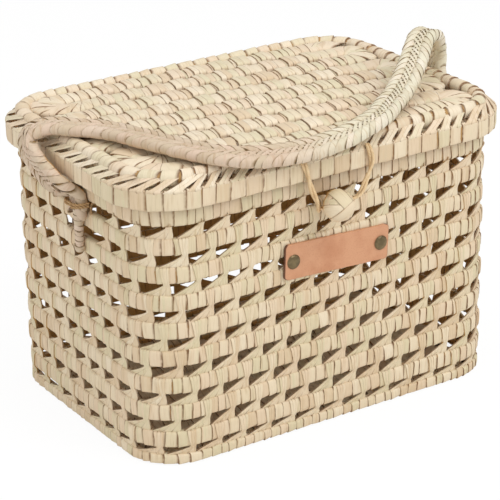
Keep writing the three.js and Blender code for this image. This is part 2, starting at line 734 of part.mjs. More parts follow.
// A keeper binds the strap's end to the top wall row: two loops and a bridge over the strap.
function keeper(side) {
  const reach = STRAP_END_SPREAD / 2 + STRAP_CORD_RADIUS + SEAT_GAP;
  const loops = [-1, 1].map((end) => uprightPlate(
    rowLoop(KEEPER_TOP, KEEPER_THICKNESS), KEEPER_BAND, 1,
  ).translate(0, end * (reach + KEEPER_BAND / 2), 0));
  const far = -2 * (SEAT_GAP + STRAP_CORD_RADIUS) - SEAT_GAP - KEEPER_THICKNESS;
  const bridge = polygon([
    [-SEAT_GAP - KEEPER_THICKNESS / 2, -reach - KEEPER_BAND],
    [far - KEEPER_THICKNESS, -reach - KEEPER_BAND], [far - KEEPER_THICKNESS, reach + KEEPER_BAND],
    [-SEAT_GAP - KEEPER_THICKNESS / 2, reach + KEEPER_BAND],
    [-SEAT_GAP - KEEPER_THICKNESS / 2, reach], [far, reach], [far, -reach],
    [-SEAT_GAP - KEEPER_THICKNESS / 2, -reach],
  ]);
  const span = new THREE.ExtrudeGeometry(bridge, { depth: KEEPER_BAND, bevelEnabled: false });
  const joined = join(loops[0], [loops[1], span.translate(0, 0, ANCHOR_Z - KEEPER_BAND / 2)]);
  return joined.rotateZ(side < 0 ? 0 : Math.PI)
    .translate(side * BODY_WIDTH / 2, ANCHOR_Y, 0);
}

// The strap's wrapped tail, hanging below its keeper against the wall.
function strapTail(side) {
  const top = ANCHOR_Z - STRAP_END - SEAT_GAP;
  const profile = [
    [0, top - TAIL_LENGTH], [TAIL_TIP_RADIUS, top - TAIL_LENGTH],
    [TAIL_RADIUS, top - TAIL_LENGTH / 4], [TAIL_RADIUS / 2, top], [0, top],
  ];
  return turned(profile, 8).rotateX(Math.PI / 2)
    .translate(side * (BODY_WIDTH / 2 + SEAT_GAP + TAIL_RADIUS), ANCHOR_Y, 0);
}

const box = new THREE.Group();

function addPiece(name, geometry, finish) {
  const mesh = new THREE.Mesh(geometry, new THREE.MeshStandardMaterial(finish));
  mesh.name = name;
  box.add(mesh);
}

addPiece('base_mat', baseMat(), FINISHES.leaf);
addPiece('base_edge_coil', baseEdgeCoil(), FINISHES.leaf);
for (let row = 1; row <= WALL_ROWS; row += 1) {
  addPiece(`wall_coil_${row}`, wallRow(row), row % 3 ? FINISHES.leaf : FINISHES.greenLeaf);
}
addPiece('rim_coil', coilRing(BODY_OUTLINE, ROW_THICKNESS, RIM_COIL_HEIGHT, ROW_CHAMFER)
  .translate(0, 0, RIM_BOTTOM), FINISHES.leaf);
addPiece('rim_lip_coil', rimLipCoil(), FINISHES.leaf);
addPiece('lid_skirt', lidSkirt(), FINISHES.leaf);
addPiece('lid_edge_coil', lidEdgeCoil(), FINISHES.leaf);
addPiece('lid_mat', lidMat(), FINISHES.leaf);
addPiece('knob_cord', knobCord(), FINISHES.leaf);
addPiece('knob_ball', knobBall(), FINISHES.leaf);
addPiece('closure_loop', closureLoop(), FINISHES.string);
addPiece('label', label(), FINISHES.leather);
for (const [name, side] of [['left', -1], ['right', 1]]) {
  addPiece(`rivet_${name}`, rivet(side), FINISHES.brass);
  addPiece(`rivet_washer_${name}`, rivetWasher(side), FINISHES.brass);
  addPiece(`strap_keeper_${name}`, keeper(side), FINISHES.string);
  addPiece(`strap_tail_${name}`, strapTail(side), FINISHES.leaf);
}
hingePlaces().forEach((x, i) => {
  addPiece(`hinge_lashing_${['left', 'middle', 'right'][i]}`, hingeLashing(x), FINISHES.string);
});
addPiece('handle_front_cord', strapCord(-1), FINISHES.leaf);
addPiece('handle_rear_cord', strapCord(1), FINISHES.leaf);
addPiece('handle_plait', strapPlait(), FINISHES.greenLeaf);

export default box;
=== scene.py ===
"""Woven lidded box of coiled palm leaf, with a knob closure, a leather label and a soft strap.

Sizes in the classes are millimetres in the frame's own axes: +X along the long side, the
closure on the -Y side and +Z up. Meshes are written in metres.
"""

import bisect
import json
import logging
import math
import random
from collections.abc import Sequence
from dataclasses import dataclass, field, replace
from enum import Enum

import bpy
from bpy.types import ID, Collection, Material, Mesh, Node, NodeSocket, NodeTree, Object
from mathutils import Matrix, Vector, noise

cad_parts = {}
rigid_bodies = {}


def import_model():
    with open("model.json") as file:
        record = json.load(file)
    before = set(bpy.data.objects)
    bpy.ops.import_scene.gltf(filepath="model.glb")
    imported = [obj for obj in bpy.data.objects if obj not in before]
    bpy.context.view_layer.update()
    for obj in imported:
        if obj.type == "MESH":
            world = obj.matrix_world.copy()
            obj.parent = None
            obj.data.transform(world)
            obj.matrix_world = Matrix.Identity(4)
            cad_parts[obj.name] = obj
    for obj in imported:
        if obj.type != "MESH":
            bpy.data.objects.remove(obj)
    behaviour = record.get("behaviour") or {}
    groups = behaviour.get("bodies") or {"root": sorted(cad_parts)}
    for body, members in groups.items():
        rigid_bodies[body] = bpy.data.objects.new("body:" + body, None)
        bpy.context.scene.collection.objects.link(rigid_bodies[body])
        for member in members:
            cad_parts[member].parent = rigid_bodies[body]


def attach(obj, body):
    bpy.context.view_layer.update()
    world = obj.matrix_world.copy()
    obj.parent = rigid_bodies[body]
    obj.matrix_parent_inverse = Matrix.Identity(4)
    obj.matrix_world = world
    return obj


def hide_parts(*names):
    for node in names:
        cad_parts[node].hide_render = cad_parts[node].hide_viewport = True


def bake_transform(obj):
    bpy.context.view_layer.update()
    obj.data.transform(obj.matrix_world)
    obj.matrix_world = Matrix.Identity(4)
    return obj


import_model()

MM = 0.001
UP = Vector((0, 0, 1))
# gap between pieces that touch
SEAT = 0.3
# places of the knob along the front, the keepers along the sides and the hinges along the back
KNOB_X = -9.5
ANCHOR_Y = -18
HINGES = {"left": -95, "middle": 0, "right": 95}
LOG = logging.getLogger("woven_box")


class Slot(Enum):
    """Material slots of the record."""

    LEAF = "palm_leaf"
    STRING = "string"
    BRASS = "antique_brass"
    LEATHER = "leather"


# ---------------- node graphs


class Signal:
    """One value socket, with arithmetic that adds Math nodes to its graph."""

    def __init__(self, graph: "Graph", socket: NodeSocket) -> None:
        """Keep the socket and the graph that owns it."""
        self.graph = graph
        self.socket = socket

    def __add__(self, other: "Signal | float") -> "Signal":
        """Sum."""
        return self.graph.math("ADD", self, other)

    def __sub__(self, other: "Signal | float") -> "Signal":
        """Difference."""
        return self.graph.math("SUBTRACT", self, other)

    def __mul__(self, other: "Signal | float") -> "Signal":
        """Product."""
        return self.graph.math("MULTIPLY", self, other)

    def ramped(self, low: float, high: float, out_low: float = 0, out_high: float = 1) -> "Signal":
        """Smooth step between two values.

        Args:
            low: value that gives out_low.
            high: value that gives out_high.
            out_low: result at and below low.
            out_high: result at and above high.

        Returns:
            The stepped signal.
        """
        made = self.graph.node(
            "ShaderNodeMapRange",
            {"interpolation_type": "SMOOTHSTEP"},
            {0: self, 1: low, 2: high, 3: out_low, 4: out_high},
        )
        return Signal(self.graph, made.outputs[0])


class Graph:
    """Adds nodes to one node tree and links them."""

    def __init__(self, tree: NodeTree) -> None:
        """Work on this tree."""
        self.tree = tree

    def node(self, kind: str, settings: dict | None = None, inputs: dict | None = None) -> Node:
        """Add one node.

        Args:
            kind: the node's type name.
            settings: its properties.
            inputs: constants, sockets or signals by input name or index.

        Returns:
            The new node.
        """
        made = self.tree.nodes.new(kind)
        for name, value in (settings or {}).items():
            setattr(made, name, value)
        self.feed(made, inputs or {})
        return made

    def feed(self, node: Node, inputs: dict) -> None:
        """Link or set a node's inputs.

        Args:
            node: the node.
            inputs: constants, sockets or signals by the index or the name of an enabled input.
        """
        for key, value in inputs.items():
            socket = next((s for s in node.inputs if s.name == key and s.enabled), None)
            socket = socket or node.inputs[key]
            source = value.socket if isinstance(value, Signal) else value
            if isinstance(source, NodeSocket):
                self.tree.links.new(source, socket)
            else:
                socket.default_value = source

    @staticmethod
    def shown(node: Node) -> NodeSocket:
        """The node's enabled output."""
        return next(socket for socket in node.outputs if socket.enabled)

    def math(self, operation: str, *values: "Signal | float") -> Signal:
        """Add a Math node of one operation."""
        made = self.node("ShaderNodeMath", {"operation": operation}, dict(enumerate(values)))
        return Signal(self, made.outputs[0])

    def vector(self, operation: str, first: object, second: object) -> NodeSocket:
        """Add a Vector Math node of one operation.

        Args:
            operation: the operation's name.
            first: the first vector.
            second: the second vector, or the number that scales the first.

        Returns:
            The vector socket, or the value socket of a dot product.
        """
        inputs = {0: first, "Scale" if operation == "SCALE" else 1: second}
        made = self.node("ShaderNodeVectorMath", {"operation": operation}, inputs)
        return made.outputs["Value" if operation == "DOT_PRODUCT" else "Vector"]

    def mix(self, factor: object, low: object, high: object, blend: str = "MIX") -> object:
        """Mix two colours.

        Args:
            factor: share of the second colour.
            low: first colour or socket.
            high: second colour or socket.
            blend: the way of mixing.

        Returns:
            The colour socket.
        """
        settings = {"data_type": "RGBA", "blend_type": blend}
        made = self.node("ShaderNodeMix", settings, {0: factor, 6: low, 7: high})
        return made.outputs[2]

    def noise(self, vector: object, scale: float, detail: float = 2) -> Signal:
        """Noise from 0 to 1 on a vector."""
        inputs = {"Vector": vector, "Scale": scale, "Detail": detail}
        return Signal(self, self.node("ShaderNodeTexNoise", {}, inputs).outputs[0])

    def bump(self, height: Signal, strength: float, depth: float) -> NodeSocket:
        """Relief of a height, as a normal."""
        inputs = {"Strength": strength, "Distance": depth, "Height": height}
        return self.node("ShaderNodeBump", {}, inputs).outputs[0]

    def combined(self, x: object, y: object, z: object) -> NodeSocket:
        """A vector of three values."""
        return self.node("ShaderNodeCombineXYZ", {}, {0: x, 1: y, 2: z}).outputs[0]

    def parts(self, vector: object) -> list[Signal]:
        """The three values of a vector."""
        split = self.node("ShaderNodeSeparateXYZ", {}, {0: vector})
        return [Signal(self, socket) for socket in split.outputs]

    def place(self) -> NodeSocket:
        """Where the shaded point is on its object."""
        return self.node("ShaderNodeTexCoord").outputs["Object"]

    def attribute(self, name: str) -> Signal:
        """A stored value of the mesh."""
        made = self.node("ShaderNodeAttribute", {"attribute_name": name})
        return Signal(self, made.outputs["Fac"])


def linear(value: int) -> float:
    """A display value of 0 to 255 as a linear one."""
    share = value / 255
    return share / 12.92 if share <= 0.04045 else ((share + 0.055) / 1.055) ** 2.4


def srgb(red: int, green: int, blue: int) -> tuple[float, float, float, float]:
    """A display colour of 0 to 255 as a linear one."""
    return (linear(red), linear(green), linear(blue), 1.0)


# ---------------- finishes


def blank_material(
    name: str, kind: str = "ShaderNodeBsdfPrincipled"
) -> tuple[Material, Graph, Node]:
    """A new node material.

    Args:
        name: the material's name.
        kind: type name of the node that gives its surface.

    Returns:
        The material, its graph and its surface node.
    """
    material = bpy.data.materials.new(name)
    material.use_nodes = True
    material.node_tree.nodes.clear()
    graph = Graph(material.node_tree)
    shader = graph.node(kind)
    graph.node("ShaderNodeOutputMaterial", {}, {"Surface": shader.outputs[0]})
    return material, graph, shader


@dataclass(frozen=True)
class LeafFinish:
    """Dry palm leaf: pale strips of several tones, long fibres and browned edges with painted
    crevice shade; painted shade inside the box, below the lid or on the strap's left part.
    """

    name: str = "palm_leaf"
    tones: tuple = (
        (0.00, (236, 221, 196)), (0.18, (229, 213, 185)), (0.32, (225, 212, 182)),
        (0.42, (220, 209, 177)), (0.52, (232, 216, 190)), (0.66, (230, 210, 184)),
        (0.78, (226, 205, 177)), (0.90, (219, 197, 165)), (1.00, (238, 225, 202)),
    )
    # colour of browned leaf edges, darkened into painted crevice shade where leaves tuck under each
    # other
    edge: tuple = (118, 76, 34)
    shade: tuple = (196, 168, 128)
    blotch: tuple = (199, 168, 120)
    # warm painted shade multiplied onto faces that look into the box
    inner: tuple = (240, 206, 146)
    fibre_depth: float = 0.00022
    edge_share: float = 0.92
    # pink tone of the strap's left part, darkened with painted shade where it turns away from the
    # light
    left_pink_and_painted_shade: tuple | None = None
    # painted shade multiplied onto everything below the lid, so the walls come out darker than the
    # lid's top
    wall_painted_shade: tuple = (250, 247, 240)

    def build(self) -> Material:
        """Make the material.

        Returns:
            The material.
        """
        material, graph, shader = blank_material(self.name)
        tone = graph.math("FRACT", graph.attribute("tone") + graph.attribute("ply"))
        leaf = graph.node("ShaderNodeUVMap", {"uv_map": "leaf"}).outputs[0]
        across, along, _ = graph.parts(leaf)
        place = graph.place()
        x, _, z = graph.parts(place)
        fibres = graph.noise(graph.combined(across * 34, along * 1.3, tone * 91), 1.0, 3)
        streaks = graph.noise(graph.combined(across * 7, along * 0.45, tone * 57), 1.0, 2)
        blotches = graph.noise(place, 48, 3)
        broken = graph.noise(graph.combined(across * 1.5, along * 2.2, tone * 31), 1.0, 1)
        # browned edges with painted crevice shade, broken up by noise
        worn_and_shaded = graph.attribute("edge").ramped(0.15, 0.95, 0, self.edge_share)
        # painted shade: on the strap's left part, else on everything below the lid
        if self.left_pink_and_painted_shade:
            shade_tint_share, shade_tint = x.ramped(0.02, -0.06), self.left_pink_and_painted_shade
        else:
            shade_tint_share, shade_tint = z.ramped(0.206, 0.2), self.wall_painted_shade
        colour = self.tone_ramp(graph, tone + (streaks - 0.5) * 0.34)
        for share, shade, blend in (
            (streaks.ramped(0.5, 0.78, 0, 0.5), self.shade, "MIX"),
            (fibres.ramped(0.55, 0.8, 0, 0.32), self.shade, "MIX"),
            (blotches.ramped(0.56, 0.8, 0, 0.22), self.blotch, "MIX"),
            (self.inside(graph, place, z), self.inner, "MULTIPLY"),
            (shade_tint_share, shade_tint, "MULTIPLY"),
            (worn_and_shaded * broken.ramped(0.3, 0.6, 0.4, 1.0), self.edge, "MIX"),
        ):
            colour = graph.mix(share, colour, srgb(*shade), blend)
        graph.feed(shader, {
            "Base Color": colour,
            "Roughness": fibres.ramped(0.2, 0.9, 0.5, 0.78),
            "Normal": graph.bump(fibres * 0.6 + streaks * 0.8, 0.8, self.fibre_depth),
        })
        return material

    def inside(self, graph: Graph, place: object, height: Signal) -> Signal:
        """Share by which a face below the lid looks into the box rather than out of it, and takes a
        warm painted shade.

        Args:
            graph: the material's graph.
            place: the object coordinates.
            height: their Z value.

        Returns:
            The share, 0 to 1.
        """
        facing = graph.node("ShaderNodeNewGeometry").outputs["Normal"]
        level = graph.vector("MULTIPLY", place, (1, 2, 0))
        towards = Signal(graph, graph.vector("DOT_PRODUCT", level, facing))
        return towards.ramped(-0.03, -0.09) * height.ramped(0.200, 0.206, 1, 0)

    def tone_ramp(self, graph: Graph, value: Signal) -> NodeSocket:
        """Colour of a leaf by its tone.

        Args:
            graph: the material's graph.
            value: the tone, 0 to 1.

        Returns:
            The colour socket.
        """
        ramp = graph.node("ShaderNodeValToRGB", {}, {0: value})
        stops = ramp.color_ramp.elements
        while len(stops) < len(self.tones):
            stops.new(0.5)
        for stop, (position, colour) in zip(stops, self.tones):
            stop.position = position
            stop.color = srgb(*colour)
        return ramp.outputs[0]


@dataclass(frozen=True)
class StringFinish:
    """Tan two-ply string with fine twisted fibres."""

    name: str = "string"
    light: tuple = (240, 216, 176)
    dark: tuple = (212, 176, 126)

    def build(self) -> Material:
        """Make the material.

        Returns:
            The material.
        """
        material, graph, shader = blank_material(self.name)
        along, turn = graph.attribute("along"), graph.attribute("round")
        fibres = graph.noise(graph.combined(along * 160, turn * 9 + along * 900, 0), 1.0, 3)
        wear_and_shade = graph.noise(graph.combined(along * 90, 0, 3), 1.0, 2)
        mixed = (fibres * 0.7 + wear_and_shade * 0.5).ramped(0.35, 0.85)
        graph.feed(shader, {
            "Base Color": graph.mix(mixed, srgb(*self.light), srgb(*self.dark)),
            "Roughness": fibres.ramped(0.2, 0.9, 0.62, 0.85),
            "Normal": graph.bump(fibres, 0.7, 0.0003),
        })
        return material


@dataclass(frozen=True)
class LeatherFinish:
    """Undyed tan leather, burnt dark along its cut edges."""

    name: str = "leather"
    face: tuple = (209, 153, 115)
    warm: tuple = (196, 136, 98)
    pore: tuple = (170, 108, 70)
    burnt: tuple = (84, 46, 26)

    def build(self) -> Material:
        """Make the material.

        Returns:
            The material.
        """
        material, graph, shader = blank_material(self.name)
        place = graph.place()
        mottle = graph.noise(place, 60, 3)
        grain = graph.noise(place, 900, 4)
        ends = graph.math("ABSOLUTE", graph.parts(place)[0]).ramped(0.0395, 0.0425, 0.45, 1.1)
        scorch = graph.attribute("edge") * ends + (mottle - 0.5) * 0.3
        colour = graph.mix(mottle.ramped(0.35, 0.7), srgb(*self.face), srgb(*self.warm))
        colour = graph.mix(grain.ramped(0.5, 0.75, 0, 0.25), colour, srgb(*self.pore))
        graph.feed(shader, {
            "Base Color": graph.mix(scorch.ramped(0.35, 1.0, 0, 0.92), colour, srgb(*self.burnt)),
            "Roughness": grain.ramped(0.2, 0.8, 0.42, 0.62),
            "Normal": graph.bump(grain + mottle * 0.5, 0.5, 0.0002),
        })
        return material


@dataclass(frozen=True)
class BrassFinish:
    """Antique brass, dull and dark in its low places."""

    name: str = "antique_brass"
    bright: tuple = (132, 116, 86)
    dull: tuple = (108, 94, 68)
    metal: tuple = (1.0, 0.75)

    def build(self) -> Material:
        """Make the material.

        Returns:
            The material.
        """
        material, graph, shader = blank_material(self.name)
        place = graph.place()
        patina, scratches = graph.noise(place, 260, 2), graph.noise(place, 2600, 2)
        bright, dull = srgb(*self.bright), srgb(*self.dull)
        graph.feed(shader, {
            "Base Color": graph.mix(patina.ramped(0.35, 0.65), bright, dull),
            "Metallic": patina.ramped(0.3, 0.7, *self.metal),
            "Roughness": scratches.ramped(0.2, 0.8, 0.3, 0.5),
            "Normal": graph.bump(patina + scratches * 0.3, 0.35, 0.0002),
        })
        return material


@dataclass(frozen=True)
class Palette:
    """The finished materials."""

    leaf: Material
    core: Material
    green: Material
    string: Material
    binding: Material
    leather: Material
    brass: Material
    washer: Material

    @classmethod
    def made(cls) -> "Palette":
        """Build every material once.

        Returns:
            The palette.
        """
        core_tones = ((0.0, (176, 136, 82)), (0.5, (188, 150, 94)), (1.0, (160, 118, 68)))
        green_tones = (
            (0.0, (230, 222, 200)), (0.3, (220, 213, 186)), (0.55, (234, 222, 202)),
            (0.8, (214, 204, 176)), (1.0, (238, 230, 212)),
        )
        # edge colour: browned strap leaf edges with painted crevice shade
        strap = LeafFinish("strap_leaf", green_tones, (132, 103, 58), edge_share=0.86)
        # paler, barely metallic copy of the brass: painted light on the washers, which sit in shade
        # behind the wall
        washer = BrassFinish("washer_brass", (214, 194, 154), (188, 166, 126), (0.3, 0.1))
        return cls(
            leaf=LeafFinish().build(),
            core=LeafFinish("leaf_core", core_tones).build(),
            green=replace(strap, left_pink_and_painted_shade=(238, 223, 218)).build(),
            string=StringFinish().build(),
            binding=StringFinish("binding_string", (206, 172, 124), (152, 112, 68)).build(),
            leather=LeatherFinish().build(),
            brass=BrassFinish().build(),
            washer=washer.build(),
        )


# ---------------- places, paths


@dataclass(frozen=True)
class Place:
    """A spot on a path: local X runs along the path and local Z points up or out.

    Attributes:
        point: where it is, in millimetres.
        along: direction of the path.
        up: the other direction that is kept.
        stretch: size along, across and up.
        bend: the path's curvature per millimetre, towards the curve's middle.
    """

    point: Vector
    along: Vector
    up: Vector = UP
    stretch: tuple[float, float, float] = (1.0, 1.0, 1.0)
    bend: Vector = Vector((0, 0, 0))

    def turn(self) -> Vector:
        """The place's rotation.

        Returns:
            Its Euler angles.
        """
        x = self.along.normalized()
        y = self.up.cross(x).normalized()
        return Vector(Matrix((x, y, x.cross(y))).transposed().to_euler())


class Path:
    """A line of points in millimetres, walked by distance.

    Attributes:
        REACH: how far back the line's bend is measured.
    """

    REACH = 12.0

    def __init__(
        self, points: Sequence[Vector], ups: Sequence[Vector] | None = None, closed: bool = False
    ) -> None:
        """Keep the points, their up vectors and the distance to each.

        Args:
            points: the line's points.
            ups: up vector of each point, or none where all point up.
            closed: whether the line ends where it starts.
        """
        self.closed = closed
        self.points = list(points) + ([points[0]] if closed else [])
        ups = list(ups) if ups else [UP] * len(points)
        self.ups = ups + ([ups[0]] if closed else [])
        self.stops = [0.0]
        for a, b in zip(self.points, self.points[1:]):
            self.stops.append(self.stops[-1] + (b - a).length)

    @property
    def length(self) -> float:
        """Length of the whole line."""
        return self.stops[-1]

    def within(self, distance: float) -> float:
        """The distance brought onto the line, round it or to its ends."""
        return distance % self.length if self.closed else min(max(distance, 0), self.length)

    def spot(self, distance: float) -> tuple[int, float, Vector]:
        """Find a point of the line.

        Args:
            distance: how far along it is.

        Returns:
            The stretch's number, the share of it that is walked and the point.
        """
        distance = self.within(distance)
        low = min(max(bisect.bisect_right(self.stops, distance) - 1, 0), len(self.stops) - 2)
        a, b = self.points[low], self.points[low + 1]
        share = (distance - self.stops[low]) / max((b - a).length, 1e-9)
        return low, share, a.lerp(b, share)

    def at(self, distance: float) -> Place:
        """The place at a distance along the line.

        Args:
            distance: how far along it is.

        Returns:
            The place, turned smoothly from stretch to stretch.
        """
        distance = self.within(distance)
        low, share, point = self.spot(distance)
        up = self.ups[low].lerp(self.ups[low + 1], share).normalized()
        before, here, after = (self.direction(low + step) for step in (-1, 0, 1))
        near = before.lerp(here, 0.5 + share) if share < 0.5 else here.lerp(after, share - 0.5)
        near.normalize()
        off = self.spot(distance - self.REACH)[2] - point
        bend = (off - near * off.dot(near)) * (2 / self.REACH**2)
        return Place(point, near, up, bend=bend)

    def direction(self, index: int) -> Vector:
        """Direction of one stretch of the line.

        Args:
            index: the stretch's number, which may be past either end.

        Returns:
            The direction.
        """
        count = len(self.points) - 1
        index = index % count if self.closed else min(max(index, 0), count - 1)
        return (self.points[index + 1] - self.points[index]).normalized()

    def spaced(
        self, pitch: float, spread: float, rng: random.Random, start: float = 0, end: float = 0
    ) -> list[Place]:
        """Places side by side along the line, each stretched to its own width.

        Args:
            pitch: mean width of one copy.
            spread: share by which the widths vary.
            rng: source of the widths.
            start: bare length at the line's start.
            end: bare length at its end.

        Returns:
            The places at the copies' middles.
        """
        room = self.length - start - end
        count = max(1, round(room / pitch))
        widths = [1 + rng.uniform(-spread, spread) for _ in range(count)]
        unit = room / sum(widths)
        places, reached = [], start
        for width in widths:
            middle = self.at(reached + width * unit / 2)
            across, rise = (1 + rng.uniform(-share, share) for share in (0.03, 0.02))
            places.append(replace(middle, stretch=(width * unit / pitch, across, rise)))
            reached += width * unit
        return places


@dataclass(frozen=True)
class Outline:
    """A rounded rectangle in plan."""

    width: float
    depth: float
    radius: float

    def inset(self, by: float) -> "Outline":
        """The outline a distance further in."""
        return Outline(self.width - 2 * by, self.depth - 2 * by, self.radius - by)

    def path(self, height: float = 0) -> Path:
        """The outline as a closed path, anticlockwise from its front left arc.

        Args:
            height: the path's height.

        Returns:
            The path.
        """
        x, y = self.width / 2 - self.radius, self.depth / 2 - self.radius
        points: list[Vector] = [Vector((-x, -y - self.radius, height))]
        corners = ((x, -y, -90), (x, y, 0), (-x, y, 90), (-x, -y, 180))
        for centre_x, centre_y, first in corners:
            for step in range(13):
                angle = math.radians(first + step * 7.5)
                offset = Vector((math.cos(angle), math.sin(angle), 0)) * self.radius
                points.append(Vector((centre_x, centre_y, height)) + offset)
        return Path(points[:-1], closed=True)

    def hoop(self, middle: Vector, across: Vector) -> Path:
        """The outline stood on its edge as a closed loop.

        Args:
            middle: the loop's middle.
            across: the level direction that the outline's width takes.

        Returns:
            The loop.
        """
        points = [middle + across * p.x + UP * p.y for p in self.path().points[:-1]]
        return Path(points, closed=True)

    def half_length(self, y: float) -> float:
        """Half the outline's length along X at a distance from its middle.

        Args:
            y: the distance across.

        Returns:
            The half length.
        """
        beyond = abs(y) - (self.depth / 2 - self.radius)
        if beyond <= 0:
            return self.width / 2
        return self.width / 2 - self.radius + math.sqrt(max(0.0, self.radius**2 - beyond**2))


def smooth_line(points: Sequence[Vector], steps: int = 6) -> list[Vector]:
    """Centripetal Catmull-Rom line through points.

    Args:
        points: the points that it passes.
        steps: how many points it has for each of them.

    Returns:
        The line's points.
    """
    ends = [points[0] * 2 - points[1], *points, points[-1] * 2 - points[-2]]
    line: list[Vector] = []
    for i in range(1, len(ends) - 2):
        p0, p1, p2, p3 = ends[i - 1 : i + 3]
        spans = ((p0, p1), (p1, p2), (p2, p3))
        d0, d1, d2 = (math.sqrt(max((b - a).length, 1e-6)) for a, b in spans)
        t1 = ((p1 - p0) / d0 - (p2 - p0) / (d0 + d1) + (p2 - p1) / d1) * d1
        t2 = ((p2 - p1) / d1 - (p3 - p1) / (d1 + d2) + (p3 - p2) / d2) * d1
        for step in range(steps):
            s = step / steps
            cubic = (p1 - p2) * 2 + t1 + t2
            square = (p2 - p1) * 3 - t1 * 2 - t2
            line.append(p1 + t1 * s + square * s**2 + cubic * s**3)
    return [*line, points[-1].copy()]


# ---------------- leaf meshes


def tube_faces(
    rings: int, around: int, closed: bool = False, first: int = 0
) -> list[tuple[int, ...]]:
    """Faces of a tube of point rings, capped unless its ends meet.

    Args:
        rings: how many rings there are.
        around: points of each ring.
        closed: whether the last ring joins the first.
        first: index of the first point.

    Returns:
        The faces as point indices.
    """
    faces: list[tuple[int, ...]] = []
    for ring in range(rings if closed else rings - 1):
        a, b = first + ring * around, first + (ring + 1) % rings * around
        for k in range(around):
            n = (k + 1) % around
            faces.append((a + k, a + n, b + n, b + k))
    if not closed:
        faces.append(tuple(range(first + around - 1, first - 1, -1)))
        faces.append(tuple(range(first + (rings - 1) * around, first + rings * around)))
    return faces


def solid_mesh(
    name: str,
    points: Sequence[Vector],
    faces: Sequence[tuple[int, ...]],
    values: dict[str, Sequence[float]] | None = None,
) -> Mesh:
    """A smooth mesh.

    Args:
        name: the mesh's name.
        points: its points in millimetres.
        faces: its faces as point indices.
        values: numbers that are stored on its points, by name.

    Returns:
        The mesh.
    """
    mesh = bpy.data.meshes.new(name)
    mesh.from_pydata([p * MM for p in points], [], faces)
    for key, numbers in (values or {}).items():
        mesh.attributes.new(key, "FLOAT", "POINT").data.foreach_set("value", numbers)
    mesh.shade_smooth()
    return mesh


def linked(name: str, data: ID) -> Object:
    """A new object in the scene.

    Args:
        name: its name.
        data: its mesh, lamp or camera.

    Returns:
        The object.
    """
    made = bpy.data.objects.new(name, data)
    bpy.context.scene.collection.objects.link(made)
    return made


@dataclass(frozen=True)
class Section:
    """The rounded section of a bundle, drawn across its path."""

    depth: float
    height: float
    power: float = 3.0
    shift: float = 0.0

    def point(self, angle: float, lift: float) -> tuple[float, float]:
        """A point of the surface.

        Args:
            angle: where it is round the bundle.
            lift: how far it is off the bundle.

        Returns:
            Its depth and its height.
        """
        c, s = math.cos(angle), math.sin(angle)
        bend = 2 / self.power
        y = self.shift + (self.depth / 2 + lift) * math.copysign(abs(c) ** bend, c)
        z = (self.height / 2 + lift) * math.copysign(abs(s) ** bend, s)
        return y, z


class Patch:
    """A grid of points that is turned into a mesh with leaf coordinates and edge browning with
    painted crevice shade.
    """

    def __init__(self) -> None:
        """Start without stations."""
        self.stations: list[list[tuple[float, float, float]]] = []
        self.wear_and_shade: list[list[float]] = []
        self.plies: list[float] = []
        self.crisp: set[int] = set()

    def add(
        self,
        points: list[tuple[float, float, float]],
        wear_and_shade: float | list[float],
        crisp: bool = False,
        ply: float = 0.0,
    ) -> None:
        """Add one station.

        Args:
            points: its points in millimetres.
            wear_and_shade: browning and painted crevice shade of its points, 0 to 1.
            crisp: whether the strip that leads to it is a sharp step.
            ply: shift of the leaf's tone from here on.
        """
        if crisp:
            self.crisp.add(len(self.stations) - 1)
        self.stations.append(points)
        self.wear_and_shade.append(wear_and_shade if isinstance(wear_and_shade, list) else [wear_and_shade] * len(points))
        self.plies.append(ply)

    def mesh(self, name: str, flat: bool = False) -> Mesh:
        """The patch as a mesh, closed round each station and at both ends.

        Args:
            name: the mesh's name.
            flat: whether each station is a flat loop, face first and back after it.

        Returns:
            The mesh.
        """
        n = len(self.stations[0])
        points = [Vector(p) for station in self.stations for p in station]
        faces, smooth, plies = [], [], []
        for s in range(len(self.stations) - 1):
            for i in range(n):
                a, b = s * n + i, s * n + (i + 1) % n
                faces.append((a, a + n, b + n, b) if flat else (a, b, b + n, a + n))
                smooth.append(s not in self.crisp)
                plies.append(self.plies[s])
        last = len(points) - n
        for i in range(n // 2 - 1 if flat else 0):
            a, b, c, d = i, i + 1, n - 2 - i, n - 1 - i
            faces += [(a, b, c, d), (last + d, last + c, last + b, last + a)]
            smooth += [False, False]
            plies += [self.plies[0], self.plies[-1]]
        mesh = solid_mesh(name, points, faces, {"edge": [w for row in self.wear_and_shade for w in row]})
        mesh.polygons.foreach_set("use_smooth", smooth)
        mesh.attributes.new("ply", "FLOAT", "FACE").data.foreach_set("value", plies)
        self.write_uv(mesh, n)
        return mesh

    def write_uv(self, mesh: Mesh, n: int) -> None:
        """Leaf coordinates in centimetres: across the leaf, then round the bundle.

        Args:
            mesh: the mesh.
            n: points of each station.
        """
        layer = mesh.uv_layers.new(name="leaf")
        rounds = [0.0]
        middle = self.stations[len(self.stations) // 2]
        for a, b in zip(middle, [*middle[1:], middle[0]]):
            rounds.append(rounds[-1] + (Vector(b) - Vector(a)).length)
        for polygon in mesh.polygons:
            spots = [mesh.loops[k].vertex_index % n for k in polygon.loop_indices]
            seam = min(spots) == 0 and max(spots) == n - 1
            for k, spot in zip(polygon.loop_indices, spots):
                x = mesh.vertices[mesh.loops[k].vertex_index].co.x
                layer.data[k].uv = (x / MM / 10, rounds[n if seam and spot == 0 else spot] / 10)


